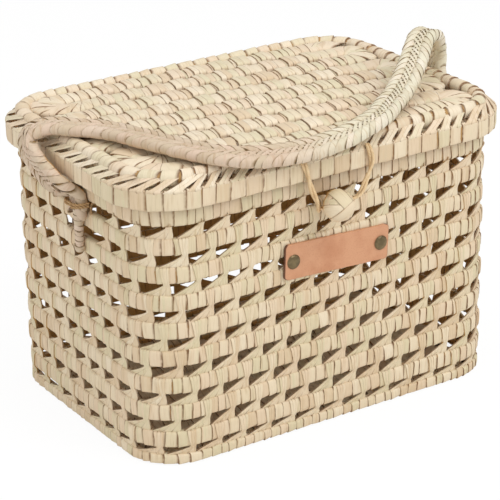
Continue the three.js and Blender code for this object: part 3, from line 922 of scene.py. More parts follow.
@dataclass(frozen=True)
class LeafWrap:
    """One turn of leaf round a bundle, proud at one edge and tucked under at the other.

    Attributes:
        section: the bundle's section.
        width: nominal width along the path.
        lean: shift along the path for each unit of height.
        skew: shift along the path for each unit of depth.
        proud: how far the free edge stands off the bundle.
        around: points round the section.
    """

    section: Section
    width: float
    lean: float = 0.0
    skew: float = 0.0
    proud: float = 0.6
    around: int = 16

    def mesh(self, name: str, rng: random.Random) -> Mesh:
        """One leaf turn with its own ripples.

        Args:
            name: the mesh's name.
            rng: source of the ripples.

        Returns:
            The mesh.
        """
        # the third value of a station is browning with painted crevice shade, darkest where the
        # leaf tucks under its neighbours
        stations = (
            (-0.53, -0.5, 1.0, False), (-0.50, self.proud, 0.8, True),
            (-0.43, self.proud * 1.1, 0.0, False), (0.30, self.proud * 0.55, 0.0, False),
            (0.45, self.proud * 0.1, 0.45, False), (0.62, -0.2, 1.0, False),
        )
        phase, ripple = rng.uniform(0, math.tau), rng.uniform(0.15, 0.45)
        bow = rng.uniform(-0.7, 0.7)
        patch = Patch()
        for share, lift, wear_and_shade, crisp in stations:
            points = []
            for i in range(self.around):
                angle = math.tau * (i + 0.5) / self.around
                swell = 0.14 * math.sin(2 * angle + phase + 3 * share)
                y, z = self.section.point(angle, lift + (swell if lift > 0 else 0))
                x = share * self.width + self.lean * z + self.skew * y
                x += ripple * math.sin(angle * 2 + phase) + bow * (z / self.section.height) ** 2
                points.append((x, y, z))
            patch.add(points, wear_and_shade, crisp)
        return patch.mesh(name)


@dataclass(frozen=True)
class FanLevel:
    """One level of a flat leaf end.

    Attributes:
        out: how far out (negative) or in the leaf's face lies.
        inner: how far out or in its back lies.
        z: height.
        left: where the leaf's left side is.
        right: where its right side is.
        gather: how far the creases lie flat here, 0 to 1.
        wear_and_shade: browning and painted crevice shade.
    """

    out: float
    inner: float
    z: float
    left: float
    right: float
    gather: float = 0.0
    wear_and_shade: float = 0.0


@dataclass(frozen=True)
class LeafFan:
    """A leaf end, flat and creased, that changes its width on its way.

    Attributes:
        levels: its levels from the foot upwards.
        pleats: number of creased parts.
        proud: how far a pleat stands off at its left side.
        loose: how far the sides differ from copy to copy.
    """

    levels: tuple[FanLevel, ...]
    pleats: int = 3
    proud: float = 0.3
    loose: float = 0.7

    def columns(self, rng: random.Random) -> list[tuple[float, float, float, bool, float]]:
        """Lay out the creases.

        Args:
            rng: source of the pleats' widths and tones.

        Returns:
            Share across, lift, browning with painted crevice shade, step flag and tone shift of
            each column.
        """
        splits = [0.0]
        for _ in range(self.pleats):
            splits.append(splits[-1] + rng.uniform(0.75, 1.3))
        splits = [split / splits[-1] for split in splits]
        proud = self.proud
        tone = rng.uniform(0, 1)
        # side columns and creases take browning with painted crevice shade
        columns = [(0.0, -0.3, 0.9, False, tone)]
        for pleat in range(self.pleats):
            start, width = splits[pleat], splits[pleat + 1] - splits[pleat]
            crease = 0.5 if pleat else 0.0
            columns.append((start + width * 0.05, proud * 0.9, crease, pleat > 0, tone))
            columns.append((start + width * 0.16, proud, 0.0, False, tone))
            columns.append((start + width * 0.85, proud * 0.3, 0.0, False, tone))
            tone += rng.uniform(-0.12, 0.12)
            columns.append((start + width * 0.98, 0.0, 0.3, False, tone))
        return [*columns, (1.0, -0.3, 0.9, False, tone)]

    def mesh(self, name: str, rng: random.Random) -> Mesh:
        """One leaf end with its own uneven creases.

        Args:
            name: the mesh's name.
            rng: source of the creases.

        Returns:
            The mesh.
        """
        patch = Patch()
        sides = [rng.uniform(-self.loose, self.loose) for _ in range(2)]
        sway = rng.uniform(-0.5, 0.5)
        foot, tip = self.levels[0].z, self.levels[-1].z
        for share, lift, wear_and_shade, crisp, tone in self.columns(rng):
            face, back, worn_and_shaded = [], [], []
            for level in self.levels:
                left = level.left + sides[0] * (1 - level.gather)
                right = level.right + sides[1] * (1 - level.gather) * 0.5
                rise = (level.z - foot) / (tip - foot)
                x = left + (right - left) * share + sway * math.sin(math.tau * rise)
                thick = level.inner - level.out
                y = level.out - math.copysign(1, thick) * lift * (1 - 0.6 * level.gather)
                face.append((x, y, level.z))
                back.append((x, level.inner, level.z))
                worn_and_shaded.append(min(1.0, wear_and_shade * (1 - 0.6 * level.gather) + level.wear_and_shade))
            patch.add([*face, *reversed(back)], [*worn_and_shaded, *reversed(worn_and_shaded)], crisp, tone)
        return patch.mesh(name, flat=True)


def tie_fan(half_height: float, gap: float, above: float, tip: float = 1.0) -> LeafFan:
    """The tie between two rows: it leaves the lower row's top as a slanting fan.

    It narrows to a neck at the right and goes up over the face of the row above.

    Args:
        half_height: half the height of the lower row.
        gap: height of the opening between the rows.
        above: how far it covers the row above.
        tip: width of its upper end, as a share.

    Returns:
        The leaf's shape about the lower row's middle.
    """
    b, top = half_height, half_height + gap
    crown = top + above
    # the seventh value of a level is browning with painted shade where the tie tucks in at its foot
    # and tip
    levels = (
        (-2.0, -0.6, b - 1.2, -16.4, 3.2, 0, 0.6),
        (-2.7, -1.0, b + 0.1, -16.3, 3.3, 0, 0.25),
        (-2.8, -1.5, b + 0.3 * gap, -11.4, 3.3, 0.2),
        (-3.0, -1.9, b + 0.6 * gap, -6.2, 3.0, 0.6),
        (-3.5, -2.3, b + 0.88 * gap, -1.9, 2.9, 1.0),
        (-4.5, -2.6, top + 0.6, -1.2, 2.9, 1.0, 0.1),
        (-4.75, -3.0, top + 0.3 * above, 0.9 - 2.7 * tip, 0.9 + 2.3 * tip, 0.8),
        (-4.75, -3.0, crown - 0.2 * above, 0.9 - 3.7 * tip, 0.9 + 2.8 * tip, 0.4),
        (-4.3, -2.6, crown - 0.05 * above, 0.9 - 4.0 * tip, 0.9 + 2.9 * tip, 0.4, 0.1),
        (-2.9, -1.6, crown + 0.1, 0.9 - 3.9 * tip, 0.9 + 2.8 * tip, 0.4, 0.5),
    )
    return LeafFan(tuple(FanLevel(*level) for level in levels))


def lacing_fan() -> LeafFan:
    """The leaf that laces the skirt to the lid's edge coil, leaning along the edge.

    Returns:
        Its shape about the skirt's middle.
    """
    # the seventh value of a level is browning with painted shade where the leaf tucks in at its
    # foot and tip
    levels = (
        (-2.6, -1.2, 4.6, -6.0, 5.6, 0, 0.4), (-3.2, -1.8, 6.2, -6.0, 5.8, 0, 0.1),
        (-2.9, -1.7, 6.9, -4.6, 5.0), (-1.2, -0.2, 8.3, -0.9, 7.0), (1.4, 2.2, 10.3, 3.3, 11.3),
        (4.2, 5.0, 12.6, 7.6, 16.4), (6.2, 7.0, 14.0, 9.6, 19.2, 0, 0.4),
    )
    return LeafFan(tuple(FanLevel(*level) for level in levels), pleats=2, proud=0.2, loose=0.5)


# ---------------- geometry node modifiers


class NodeGroup:
    """A Geometry Nodes tree with named inputs, built once and run by modifiers.

    Attributes:
        NAME: the tree's name.
        INPUTS: name and kind of each input after the geometry.
    """

    NAME = ""
    INPUTS: tuple[tuple[str, str], ...] = ()

    def __init__(self) -> None:
        """Make the tree, its sockets and its nodes."""
        self.tree = bpy.data.node_groups.new(self.NAME, "GeometryNodeTree")
        self.graph = Graph(self.tree)
        self.sockets: dict[str, str] = {}
        for name, kind in (("Geometry", "Geometry"), *self.INPUTS):
            self.sockets[name] = self.socket(name, "INPUT", kind)
        self.socket("Geometry", "OUTPUT", "Geometry")
        self.given = self.graph.node("NodeGroupInput").outputs
        self.graph.node("NodeGroupOutput", {}, {0: self.result()})

    def socket(self, name: str, side: str, kind: str) -> str:
        """Add a socket to the tree and give its identifier."""
        kind = f"NodeSocket{kind}"
        return self.tree.interface.new_socket(name=name, in_out=side, socket_type=kind).identifier

    def result(self) -> NodeSocket:
        """Build the nodes and give the finished geometry."""
        raise NotImplementedError

    def step(self, kind: str, inputs: dict, **settings: object) -> NodeSocket:
        """Add a geometry or function node.

        Args:
            kind: the node's type name.
            inputs: its inputs.
            settings: its properties.

        Returns:
            Its first output that is shown.
        """
        return Graph.shown(self.graph.node(kind, settings, inputs))

    def joined(self, parts: Sequence[NodeSocket]) -> NodeSocket:
        """Several geometries as one.

        Args:
            parts: the geometries.

        Returns:
            The joined geometry.
        """
        made = self.graph.node("GeometryNodeJoinGeometry")
        for part in parts:
            self.tree.links.new(part, made.inputs[0])
        return made.outputs[0]

    def painted(self, geometry: NodeSocket, material: str) -> NodeSocket:
        """Geometry with the material of one input."""
        inputs = {"Geometry": geometry, "Material": self.given[material]}
        return self.step("GeometryNodeSetMaterial", inputs)

    def noted(
        self, geometry: NodeSocket, name: str, value: object, domain: str = "POINT"
    ) -> NodeSocket:
        """Store a number on geometry.

        Args:
            geometry: the geometry.
            name: the attribute's name.
            value: the number.
            domain: what it is stored on.

        Returns:
            The geometry with its attribute.
        """
        inputs = {"Geometry": geometry, "Name": name, "Value": value}
        kind = "GeometryNodeStoreNamedAttribute"
        return self.step(kind, inputs, data_type="FLOAT", domain=domain)


class LeafLayer(NodeGroup):
    """Lays leaves and ties at places and joins them to a core."""

    NAME = "lay_leaves"
    INPUTS = (
        ("Wrap Places", "Object"),
        ("Wraps", "Collection"),
        ("Tie Places", "Object"),
        ("Ties", "Collection"),
        ("Leaf", "Material"),
        ("Core", "Material"),
        ("Lean Spread", "Float"),
        ("Seed", "Int"),
    )

    def result(self) -> NodeSocket:
        """Build the nodes.

        Returns:
            The painted core with its wraps and ties.
        """
        core = self.painted(self.given["Geometry"], "Core")
        wraps = self.laid("Wrap Places", "Wraps", 0, 1.0)
        ties = self.laid("Tie Places", "Ties", 50, 0.35)
        return self.joined((ties, wraps, core))

    def laid(self, places: str, leaves: str, shift: int, share: float) -> NodeSocket:
        """Lay one kind of leaf at its places and bend it along its path.

        Args:
            places: name of the input that holds the places.
            leaves: name of the input that holds the copies of the leaf.
            shift: added to the seed.
            share: share of the lean spread that these leaves take.

        Returns:
            The realized geometry's socket.
        """
        graph, given = self.graph, self.given
        seed = Signal(graph, given["Seed"]) + shift
        spots = graph.node("GeometryNodeObjectInfo", {}, {"Object": given[places]})
        kinds = self.step("GeometryNodeCollectionInfo", {
            "Collection": given[leaves], "Separate Children": True, "Reset Children": True
        })
        rotation = self.step("FunctionNodeEulerToRotation", {0: self.stored("turn")})
        spread = Signal(graph, given["Lean Spread"]) * share
        lean = self.random(spread * -1, spread, seed + 1)
        tilt = self.step("FunctionNodeAxisAngleToRotation", {"Axis": (0, 1, 0), "Angle": lean})
        turned = self.step(
            "FunctionNodeRotateRotation", {0: rotation, 1: tilt}, rotation_space="LOCAL"
        )
        placed = self.step("GeometryNodeInstanceOnPoints", {
            "Points": spots.outputs["Geometry"],
            "Instance": kinds,
            "Pick Instance": True,
            "Instance Index": self.random(0, Workshop.VARIANTS - 1, seed + 2, "INT"),
            "Rotation": turned,
            "Scale": self.stored("stretch"),
        })
        toned = self.noted(placed, "tone", self.random(0.0, 1.0, seed + 3), "INSTANCE")
        real = self.step("GeometryNodeRealizeInstances", {0: toned})
        across = graph.parts(self.stored("leaf"))[0] * (10 * MM)
        sag = graph.vector("SCALE", self.stored("bend"), across * across * 0.5)
        curved = self.step("GeometryNodeSetPosition", {"Geometry": real, "Offset": sag})
        return self.painted(curved, "Leaf")

    def stored(self, name: str) -> NodeSocket:
        """A stored vector of the places."""
        kind = "GeometryNodeInputNamedAttribute"
        return self.step(kind, {"Name": name}, data_type="FLOAT_VECTOR")

    def random(self, low: object, high: object, seed: Signal, kind: str = "FLOAT") -> NodeSocket:
        """A random number between two values, of a kind and from a seed."""
        inputs = {"Min": low, "Max": high, "Seed": seed}
        return self.step("FunctionNodeRandomValue", inputs, data_type=kind)


class StringTwist(NodeGroup):
    """Twists two plies of string along a path."""

    NAME = "twist_string"
    INPUTS = (
        ("Ply Radius", "Float"),
        ("Ply Offset", "Float"),
        ("Lay Length", "Float"),
        ("Step", "Float"),
        ("String", "Material"),
    )
    PLIES = 2
    CORNERS = 8

    def result(self) -> NodeSocket:
        """Build the nodes.

        Returns:
            The painted plies.
        """
        curve = self.step("GeometryNodeMeshToCurve", {0: self.given["Geometry"]})
        inputs = {"Curve": curve, "Length": self.given["Step"]}
        fine = self.step("GeometryNodeResampleCurve", inputs, mode="LENGTH")
        plies = [self.ply(fine, number / self.PLIES) for number in range(self.PLIES)]
        return self.painted(self.joined(plies), "String")

    def ply(self, curve: NodeSocket, share: float) -> NodeSocket:
        """One ply of the string.

        Args:
            curve: the resampled path.
            share: where round the string the ply starts.

        Returns:
            The ply's mesh socket.
        """
        graph, given = self.graph, self.given
        walked = graph.node("GeometryNodeSplineParameter").outputs
        length = Signal(graph, walked["Length"])
        turns = graph.math("DIVIDE", length, Signal(graph, given["Lay Length"]))
        phase = turns * math.tau + share * math.tau
        normal = self.step("GeometryNodeInputNormal", {})
        side = graph.vector("CROSS_PRODUCT", self.step("GeometryNodeInputTangent", {}), normal)
        reach = Signal(graph, given["Ply Offset"])
        offset = graph.vector(
            "ADD",
            graph.vector("SCALE", normal, graph.math("COSINE", phase) * reach),
            graph.vector("SCALE", side, graph.math("SINE", phase) * reach),
        )
        moved = self.step("GeometryNodeSetPosition", {"Geometry": curve, "Offset": offset})
        ring = self.step(
            "GeometryNodeCurvePrimitiveCircle",
            {"Resolution": self.CORNERS, "Radius": given["Ply Radius"]},
        )
        turn = Signal(graph, graph.node("GeometryNodeSplineParameter").outputs["Factor"])
        return self.step("GeometryNodeCurveToMesh", {
            "Curve": self.noted(moved, "along", length),
            "Profile Curve": self.noted(ring, "round", turn),
            "Fill Caps": True,
        })


class Workshop:
    """Turns places, leaves and paths into finished pieces that ride on the frame's bodies."""

    VARIANTS = 8

    def __init__(self, palette: Palette) -> None:
        """Keep the materials and build the node trees.

        Args:
            palette: the finished materials.
        """
        self.palette = palette
        self.layer = LeafLayer()
        self.twist = StringTwist()
        self.kinds: dict[object, Collection] = {}

    def variants(self, leaf: LeafWrap | LeafFan) -> Collection:
        """Differing copies of one leaf shape, made once.

        Args:
            leaf: the shape.

        Returns:
            The collection that holds them.
        """
        if leaf not in self.kinds:
            number = len(self.kinds)
            group = bpy.data.collections.new(f"leaf_kind_{number}")
            for i in range(self.VARIANTS):
                name = f"leaf_{number}_{i}"
                mesh = leaf.mesh(name, random.Random(97 * number + i))
                group.objects.link(bpy.data.objects.new(name, mesh))
            self.kinds[leaf] = group
        return self.kinds[leaf]

    def places(self, name: str, spots: Sequence[Place]) -> Object:
        """An object of loose points that hold places.

        Args:
            name: the object's name.
            spots: the places.

        Returns:
            The object.
        """
        mesh = bpy.data.meshes.new(name)
        mesh.from_pydata([spot.point * MM for spot in spots], [], [])
        for key, values in (
            ("turn", [spot.turn() for spot in spots]),
            ("stretch", [spot.stretch for spot in spots]),
            ("bend", [spot.bend / MM for spot in spots]),
        ):
            layer = mesh.attributes.new(key, "FLOAT_VECTOR", "POINT")
            layer.data.foreach_set("vector", [n for value in values for n in value])
        return linked(name, mesh)

    def grown(self, name: str, mesh: Mesh, group: NodeGroup, values: dict[str, object]) -> Object:
        """Run a node tree on a mesh and keep the result as a plain mesh object.

        Args:
            name: the new object's name.
            mesh: the mesh that the tree starts from.
            group: the Geometry Nodes tree.
            values: its inputs by name.

        Returns:
            The finished object, at the origin.
        """
        seedling = linked(f"{name}_start", mesh)
        modifier = seedling.modifiers.new("grow", "NODES")
        modifier.node_group = group.tree
        for key, value in values.items():
            modifier[group.sockets[key]] = value
        seedling.update_tag()
        bpy.context.view_layer.update()
        graph = bpy.context.evaluated_depsgraph_get()
        grown = bpy.data.meshes.new_from_object(
            seedling.evaluated_get(graph), preserve_all_data_layers=True, depsgraph=graph
        )
        grown.name = name
        bpy.data.objects.remove(seedling)
        return linked(name, grown)

    def woven(
        self,
        name: str,
        core: Mesh,
        wraps: tuple[LeafWrap, Sequence[Place]],
        ties: tuple[LeafFan | LeafWrap, Sequence[Place]] | None = None,
        leaf: Material | None = None,
        lean: float = 3.0,
    ) -> Object:
        """A core covered with wraps and ties.

        Args:
            name: the piece's name.
            core: mesh of the bundle inside.
            wraps: the wrapping leaf and its places.
            ties: the tie leaf and its places.
            leaf: the leaf's material.
            lean: how far the leaves lean at random, in degrees.

        Returns:
            The finished piece.
        """
        ties = ties or (wraps[0], [])
        wrap_spots = self.places(f"{name}_wraps", wraps[1])
        tie_spots = self.places(f"{name}_ties", ties[1])
        made = self.grown(name, core, self.layer, {
            "Wrap Places": wrap_spots,
            "Wraps": self.variants(wraps[0]),
            "Tie Places": tie_spots,
            "Ties": self.variants(ties[0]),
            "Leaf": leaf or self.palette.leaf,
            "Core": self.palette.core,
            "Lean Spread": math.radians(lean),
            "Seed": sum(map(ord, name)),
        })
        for spots in (wrap_spots, tie_spots):
            bpy.data.objects.remove(spots)
        return made

    def twisted(
        self,
        name: str,
        lines: Sequence[Path],
        radius: float,
        material: Material,
        lay: float,
        spread: float = 0.46,
    ) -> Object:
        """String of two plies along paths.

        Args:
            name: the piece's name.
            lines: the paths of the string's runs.
            radius: the string's outer radius.
            material: its material.
            lay: length of one full twist.
            spread: distance of each ply from the middle, as a share of the radius.

        Returns:
            The finished piece.
        """
        points: list[Vector] = []
        edges: list[tuple[int, int]] = []
        for line in lines:
            first = len(points)
            run = line.points[:-1] if line.closed else line.points
            points += [p * MM for p in run]
            edges += [(first + i, first + i + 1) for i in range(len(run) - 1)]
            if line.closed:
                edges.append((first + len(run) - 1, first))
        mesh = bpy.data.meshes.new(f"{name}_path")
        mesh.from_pydata(points, edges, [])
        made = self.grown(name, mesh, self.twist, {
            "Ply Radius": radius * (1.02 - spread) * MM,
            "Ply Offset": radius * spread * MM,
            "Lay Length": lay * MM,
            "Step": 0.5 * MM,
            "String": material,
        })
        made.data.shade_smooth()
        return made

    def core(self, name: str, path: Path, section: Section, around: int = 12) -> Mesh:
        """The bundle inside a coil, as a closed sweep.

        Args:
            name: the mesh's name.
            path: the coil's middle line.
            section: the coil's section.
            around: points round the section.

        Returns:
            The mesh.
        """
        count = len(path.points) - (1 if path.closed else 0)
        points: list[Vector] = []
        for i in range(count):
            place = path.at(path.stops[i])
            inward = place.up.cross(place.along).normalized()
            for k in range(around):
                y, z = section.point(math.tau * (k + 0.5) / around, -0.25)
                points.append(path.points[i] + inward * y + place.up * z)
        return solid_mesh(name, points, tube_faces(count, around, path.closed))

    def finish(self, piece: Object, body: str, slot: Slot, node: str) -> None:
        """Let a piece ride on a body and stand for a CAD node.

        Args:
            piece: the piece.
            body: the body that it rides on.
            slot: not used.
            node: the CAD node that it replaces.
        """
        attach(piece, body)
        self.stand_in(piece, slot, node)

    def stand_in(self, piece: Object, slot: Slot, node: str) -> None:
        """Let a piece that rides or blends already stand for a CAD node.

        Args:
            piece: the piece.
            slot: not used.
            node: the CAD node that it replaces.
        """
        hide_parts(node)
        LOG.info("%s: %d faces", piece.name, len(piece.data.polygons))

    def clear(self) -> None:
        """Remove the leaf shapes that the trees copied."""
        for group in self.kinds.values():
            for member in list(group.objects):
                bpy.data.objects.remove(member)
            bpy.data.collections.remove(group)
        self.kinds.clear()


# ---------------- the walls


@dataclass(frozen=True)
class BodySizes:
    """Sizes of the box below its lid.

    Attributes:
        shift_share: shift of the ties from row to row, as a share of their pitch.
        short_tie: how far the ties under the rim go up it, and the share of their tip's width.
        squareness: power of a coil's section, where 2 is an ellipse.
        rivet_reach: how far from a rivet no tie stands, less a tie's own room, as in all reaches.
    """

    outline: Outline = Outline(300, 208, 38)
    rows: int = 8
    row_height: float = 12
    thickness: float = 8
    gap: float = 8.3
    base_coil: float = 7.5
    base_gap: float = 5.3
    rim_coil: float = 13.9
    tie_pitch: float = 20.4
    tie_foot: float = 16
    shift_share: float = 0.44
    start_share: float = 0.13
    label_row: int = 6
    rivet_x: float = 37
    rivet_reach: float = -11.0
    knob_reach: float = -6.0
    keeper_reach: float = 11.6
    lashing_reach: float = 1.5
    keeper_thickness: float = 1.6
    wrap_width: float = 7.2
    wrap_spread: float = 0.28
    wrap_proud: float = 0.4
    leaf_depth: float = 5.6
    squareness: float = 4.2
    short_tie: tuple = (3.4, 0.12)
    first_seed: int = 1000

    def bottom(self, row: int) -> float:
        """Height of a row's underside."""
        return self.base_coil + self.base_gap + (row - 1) * (self.row_height + self.gap)

    @property
    def rim_bottom(self) -> float:
        """Height of the rim coil's underside."""
        return self.bottom(self.rows + 1)

    @property
    def anchor_height(self) -> float:
        """Height of the strings that hold the strap, just under the rim."""
        return self.rim_bottom - 2 * SEAT - self.keeper_thickness / 2


@dataclass(frozen=True)
class Spot:
    """A stretch of wall kept free of ties."""

    x: float
    y: float
    reach: float


@dataclass
class WovenWall:
    """The base coil, the openwork rows and the two rim coils."""

    shop: Workshop
    sizes: BodySizes = field(default_factory=BodySizes)

    def build(self) -> None:
        """Make every coil of the body."""
        sizes = self.sizes
        self.coil("base_edge_coil", 0, sizes.base_coil, 0)
        for row in range(1, sizes.rows + 1):
            self.coil(f"wall_coil_{row}", sizes.bottom(row), sizes.row_height, row)
        for i, name in enumerate(("rim_coil", "rim_lip_coil")):
            bottom = sizes.rim_bottom + i * sizes.rim_coil
            self.coil(name, bottom, sizes.rim_coil, sizes.rows + 1 + i)

    def coil(self, name: str, bottom: float, height: float, row: int) -> None:
        """One closed coil with its wraps, and with ties on it below the rim.

        Args:
            name: the CAD node's name.
            bottom: height of its underside.
            height: height of the coil.
            row: number of the row, from 0 at the base.
        """
        sizes = self.sizes
        tied = row <= sizes.rows
        path = sizes.outline.inset(sizes.thickness / 2).path(bottom + height / 2)
        depth = sizes.leaf_depth if tied else sizes.thickness - 0.4
        shift = (depth - sizes.thickness) / 2 + 0.15
        section = Section(depth, height - 0.5, sizes.squareness, shift)
        wrap = LeafWrap(section, sizes.wrap_width, proud=sizes.wrap_proud)
        rng = random.Random(sizes.first_seed + row)
        places = path.spaced(sizes.wrap_width, sizes.wrap_spread, rng)
        gap = sizes.gap if row else sizes.base_gap
        above, tip = (sizes.row_height, 1.0) if row < sizes.rows else sizes.short_tie
        ties = (tie_fan(height / 2, gap, above, tip), self.tie_places(path, row)) if tied else None
        core = self.shop.core(f"{name}_core", path, section)
        piece = self.shop.woven(f"{name}_weave", core, (wrap, places), ties, lean=5.0)
        self.shop.finish(piece, "body", Slot.LEAF, name)

    def tie_places(self, path: Path, row: int) -> list[Place]:
        """Places of the ties above a row, as on the CAD row.

        Args:
            path: the row's middle line.
            row: its number.

        Returns:
            The places where no lashing passes.
        """
        sizes = self.sizes
        count = round(path.length / sizes.tie_pitch)
        shift = ((sizes.rows - row) * sizes.shift_share + sizes.start_share) % 1
        places = [path.at((i + shift) / count * path.length) for i in range(count)]
        return [place for place in places if self.is_clear(place, row)]

    def is_clear(self, place: Place, row: int) -> bool:
        """Whether no lashing passes where a tie would stand.

        Args:
            place: the tie's place.
            row: the row's number.

        Returns:
            True where it is clear.
        """
        reach = self.sizes.tie_foot / 2 + self.sizes.thickness / 2
        return not any(
            math.hypot(place.point.x - spot.x, place.point.y - spot.y) < spot.reach + reach
            for spot in self.spots(row)
        )

    def spots(self, row: int) -> list[Spot]:
        """Where the rivets, the knob's band, the keepers and the hinge lashings pass.

        Args:
            row: the row's number.

        Returns:
            The stretches of that row.
        """
        sizes = self.sizes
        side, front = sizes.outline.width / 2, -sizes.outline.depth / 2
        if row == sizes.label_row:
            return [Spot(x, front, sizes.rivet_reach) for x in (-sizes.rivet_x, sizes.rivet_x)]
        if row < sizes.rows - 1:
            return []
        spots = [Spot(KNOB_X, front, sizes.knob_reach)]
        spots += [Spot(x, ANCHOR_Y, sizes.keeper_reach) for x in (-side, side)]
        if row == sizes.rows:
            spots += [Spot(x, -front, sizes.lashing_reach) for x in HINGES.values()]
        return spots


# ---------------- the mats


@dataclass(frozen=True)
class MatSizes:
    """A coil laid to and fro in rows."""

    outline: Outline
    middle: float
    thickness: float
    rows: int = 9
    slit: float = 3
    wrap_width: float = 6.6
    turn_wrap: float = 5.0
    turn_size: float = 2.1
    turn_reach: float = 6.0
    skew: float = 0.2
    patch_pitch: float = 19.6
    patch_width: float = 10.8
    patch_shift: float = 0.41


@dataclass
class WovenMat:
    """A serpentine mat of wrapped coil, tied row to row."""

    shop: Workshop
    name: str
    body: str
    sizes: MatSizes

    def build(self) -> None:
        """Make the mat."""
        sizes = self.sizes
        rng = random.Random(sum(map(ord, self.name)))
        path = self.path()
        section = Section(self.row_width + 0.3, sizes.thickness - 0.4, 2.7)
        wrap = LeafWrap(section, sizes.wrap_width, 0.0, sizes.skew, 0.35)
        wraps = (wrap, self.wrap_places(path, rng))
        core = self.shop.core(f"{self.name}_core", path, section)
        ties = (self.tie(), self.tie_places(rng))
        piece = self.shop.woven(f"{self.name}_weave", core, wraps, ties, lean=0.0)
        self.shop.finish(piece, self.body, Slot.LEAF, self.name)

    def tie(self) -> LeafFan:
        """The flat leaf that lies across a row and dips into the slit before it.

        Returns:
            Its shape.
        """
        sizes = self.sizes
        half, top, skew = self.row_width / 2, sizes.thickness / 2, sizes.skew
        left, right = -sizes.patch_width / 2, sizes.patch_width / 2
        # the last value of each entry is browning with painted shade where the leaf dips into the
        # slits
        profile = (
            (-half - 1.3, 0.4, -0.6, 0.5), (-half - 1.1, -top + 1.2, -top + 2.2, 0.5),
            (-half + 0.1, -top - 0.4, -top + 0.9, 0.1), (-half + 1.8, -top - 1.05, -top + 0.3, 0.0),
            (0.0, -top - 1.1, -top + 0.2, 0.0), (half - 2.2, -top - 0.6, -top + 0.4, 0.0),
            (half - 0.4, -top + 0.1, -top + 1.2, 0.1), (half + 0.8, -top + 2.0, -top + 3.2, 0.5),
        )
        levels = [
            FanLevel(out, inner, z, left + skew * z, right + skew * z, 0.0, wear_and_shade)
            for z, out, inner, wear_and_shade in profile
        ]
        return LeafFan(tuple(levels), pleats=2, proud=0.25, loose=0.8)

    def wrap_places(self, path: Path, rng: random.Random) -> list[Place]:
        """Places of the leaves: side by side on the rows and fanned closely in the turns.

        Args:
            path: the coil's middle line.
            rng: source of the widths.

        Returns:
            The places.
        """
        sizes = self.sizes
        places, reached = [], 0.0
        while reached < path.length - 2:
            ends = [path.at(reached + step).along.x for step in (0, sizes.turn_wrap)]
            turning = min(map(abs, ends)) < 0.995
            width = sizes.turn_wrap if turning else sizes.wrap_width * rng.uniform(0.75, 1.2)
            width = min(width, path.length - reached)
            middle = path.at(reached + width / 2)
            size = sizes.turn_size if turning else width / sizes.wrap_width
            out, gap = self.room_outside(middle) if turning else (UP, 0.0)
            across = 1 + gap / self.row_width + rng.uniform(-0.03, 0.03)
            rise = 0.045 * (len(places) % 3) if turning else rng.uniform(-0.04, 0.04)
            stretch = (size, across, 1 + rise)
            places.append(replace(middle, point=middle.point + out * (gap / 2), stretch=stretch))
            reached += width
        return places

    def room_outside(self, place: Place) -> tuple[Vector, float]:
        """How far a leaf in a turn may reach towards the edge coil.

        Args:
            place: the leaf's place.

        Returns:
            The way out and the distance.
        """
        out = Vector((place.along.y, -place.along.x, 0))
        if out.x * place.point.x < 0:
            out.negate()
        gap = 0.0
        while gap < self.sizes.turn_reach:
            tip = place.point + out * (self.row_width / 2 + gap)
            if abs(tip.y) > self.space.depth / 2 or abs(tip.x) > self.space.half_length(tip.y):
                break
            gap += 0.5
        return out, gap * abs(out.x)

    @property
    def space(self) -> Outline:
        """Room that the mat fills."""
        return self.sizes.outline.inset(SEAT)

    @property
    def pitch(self) -> float:
        """Distance from row to row."""
        return (self.space.depth + self.sizes.slit) / self.sizes.rows

    @property
    def row_width(self) -> float:
        """Width of one row."""
        return self.pitch - self.sizes.slit

    def row_y(self, row: int) -> float:
        """Middle of a row."""
        return -self.space.depth / 2 + self.row_width / 2 + row * self.pitch

    def turn_x(self, y: float) -> float:
        """How far out a turn between two rows may lie.

        Args:
            y: the turn's middle.

        Returns:
            The distance from the mat's middle.
        """
        bend = self.pitch / 2 + self.row_width / 2
        turns = (-math.pi / 2 + math.pi * i / 16 for i in range(17))
        return min(
            self.space.half_length(y + bend * math.sin(turn)) - bend * math.cos(turn)
            for turn in turns
        )

    def free_end(self, side: int, front: int) -> list[Vector]:
        """The bow in which an outer row ends along the mat's corner.

        Args:
            side: -1 for the left corner and 1 for the right one.
            front: -1 for the front corner and 1 for the back one.

        Returns:
            Its points, the one nearest the row first.
        """
        line = self.space.inset(self.row_width / 2)
        x, y = line.width / 2 - line.radius, line.depth / 2 - line.radius
        points = []
        for turn in (math.radians(9 * i) for i in range(7)):
            out = Vector((x + line.radius * math.sin(turn), y + line.radius * math.cos(turn)))
            points.append(Vector((side * out.x, front * out.y, self.sizes.middle)))
        return points

    def path(self) -> Path:
        """The coil's middle line, to and fro.

        Returns:
            The line.
        """
        z, last = self.sizes.middle, self.sizes.rows - 1
        points = list(reversed(self.free_end(-1, -1)))
        for row in range(last):
            side = 1 if row % 2 == 0 else -1
            middle = self.row_y(row) + self.pitch / 2
            reach = self.turn_x(middle)
            for i in range(9):
                turn = math.pi * i / 8
                x = side * (reach + self.pitch / 2 * math.sin(turn))
                points.append(Vector((x, middle - self.pitch / 2 * math.cos(turn), z)))
        return Path(points + self.free_end(1 if last % 2 == 0 else -1, 1))

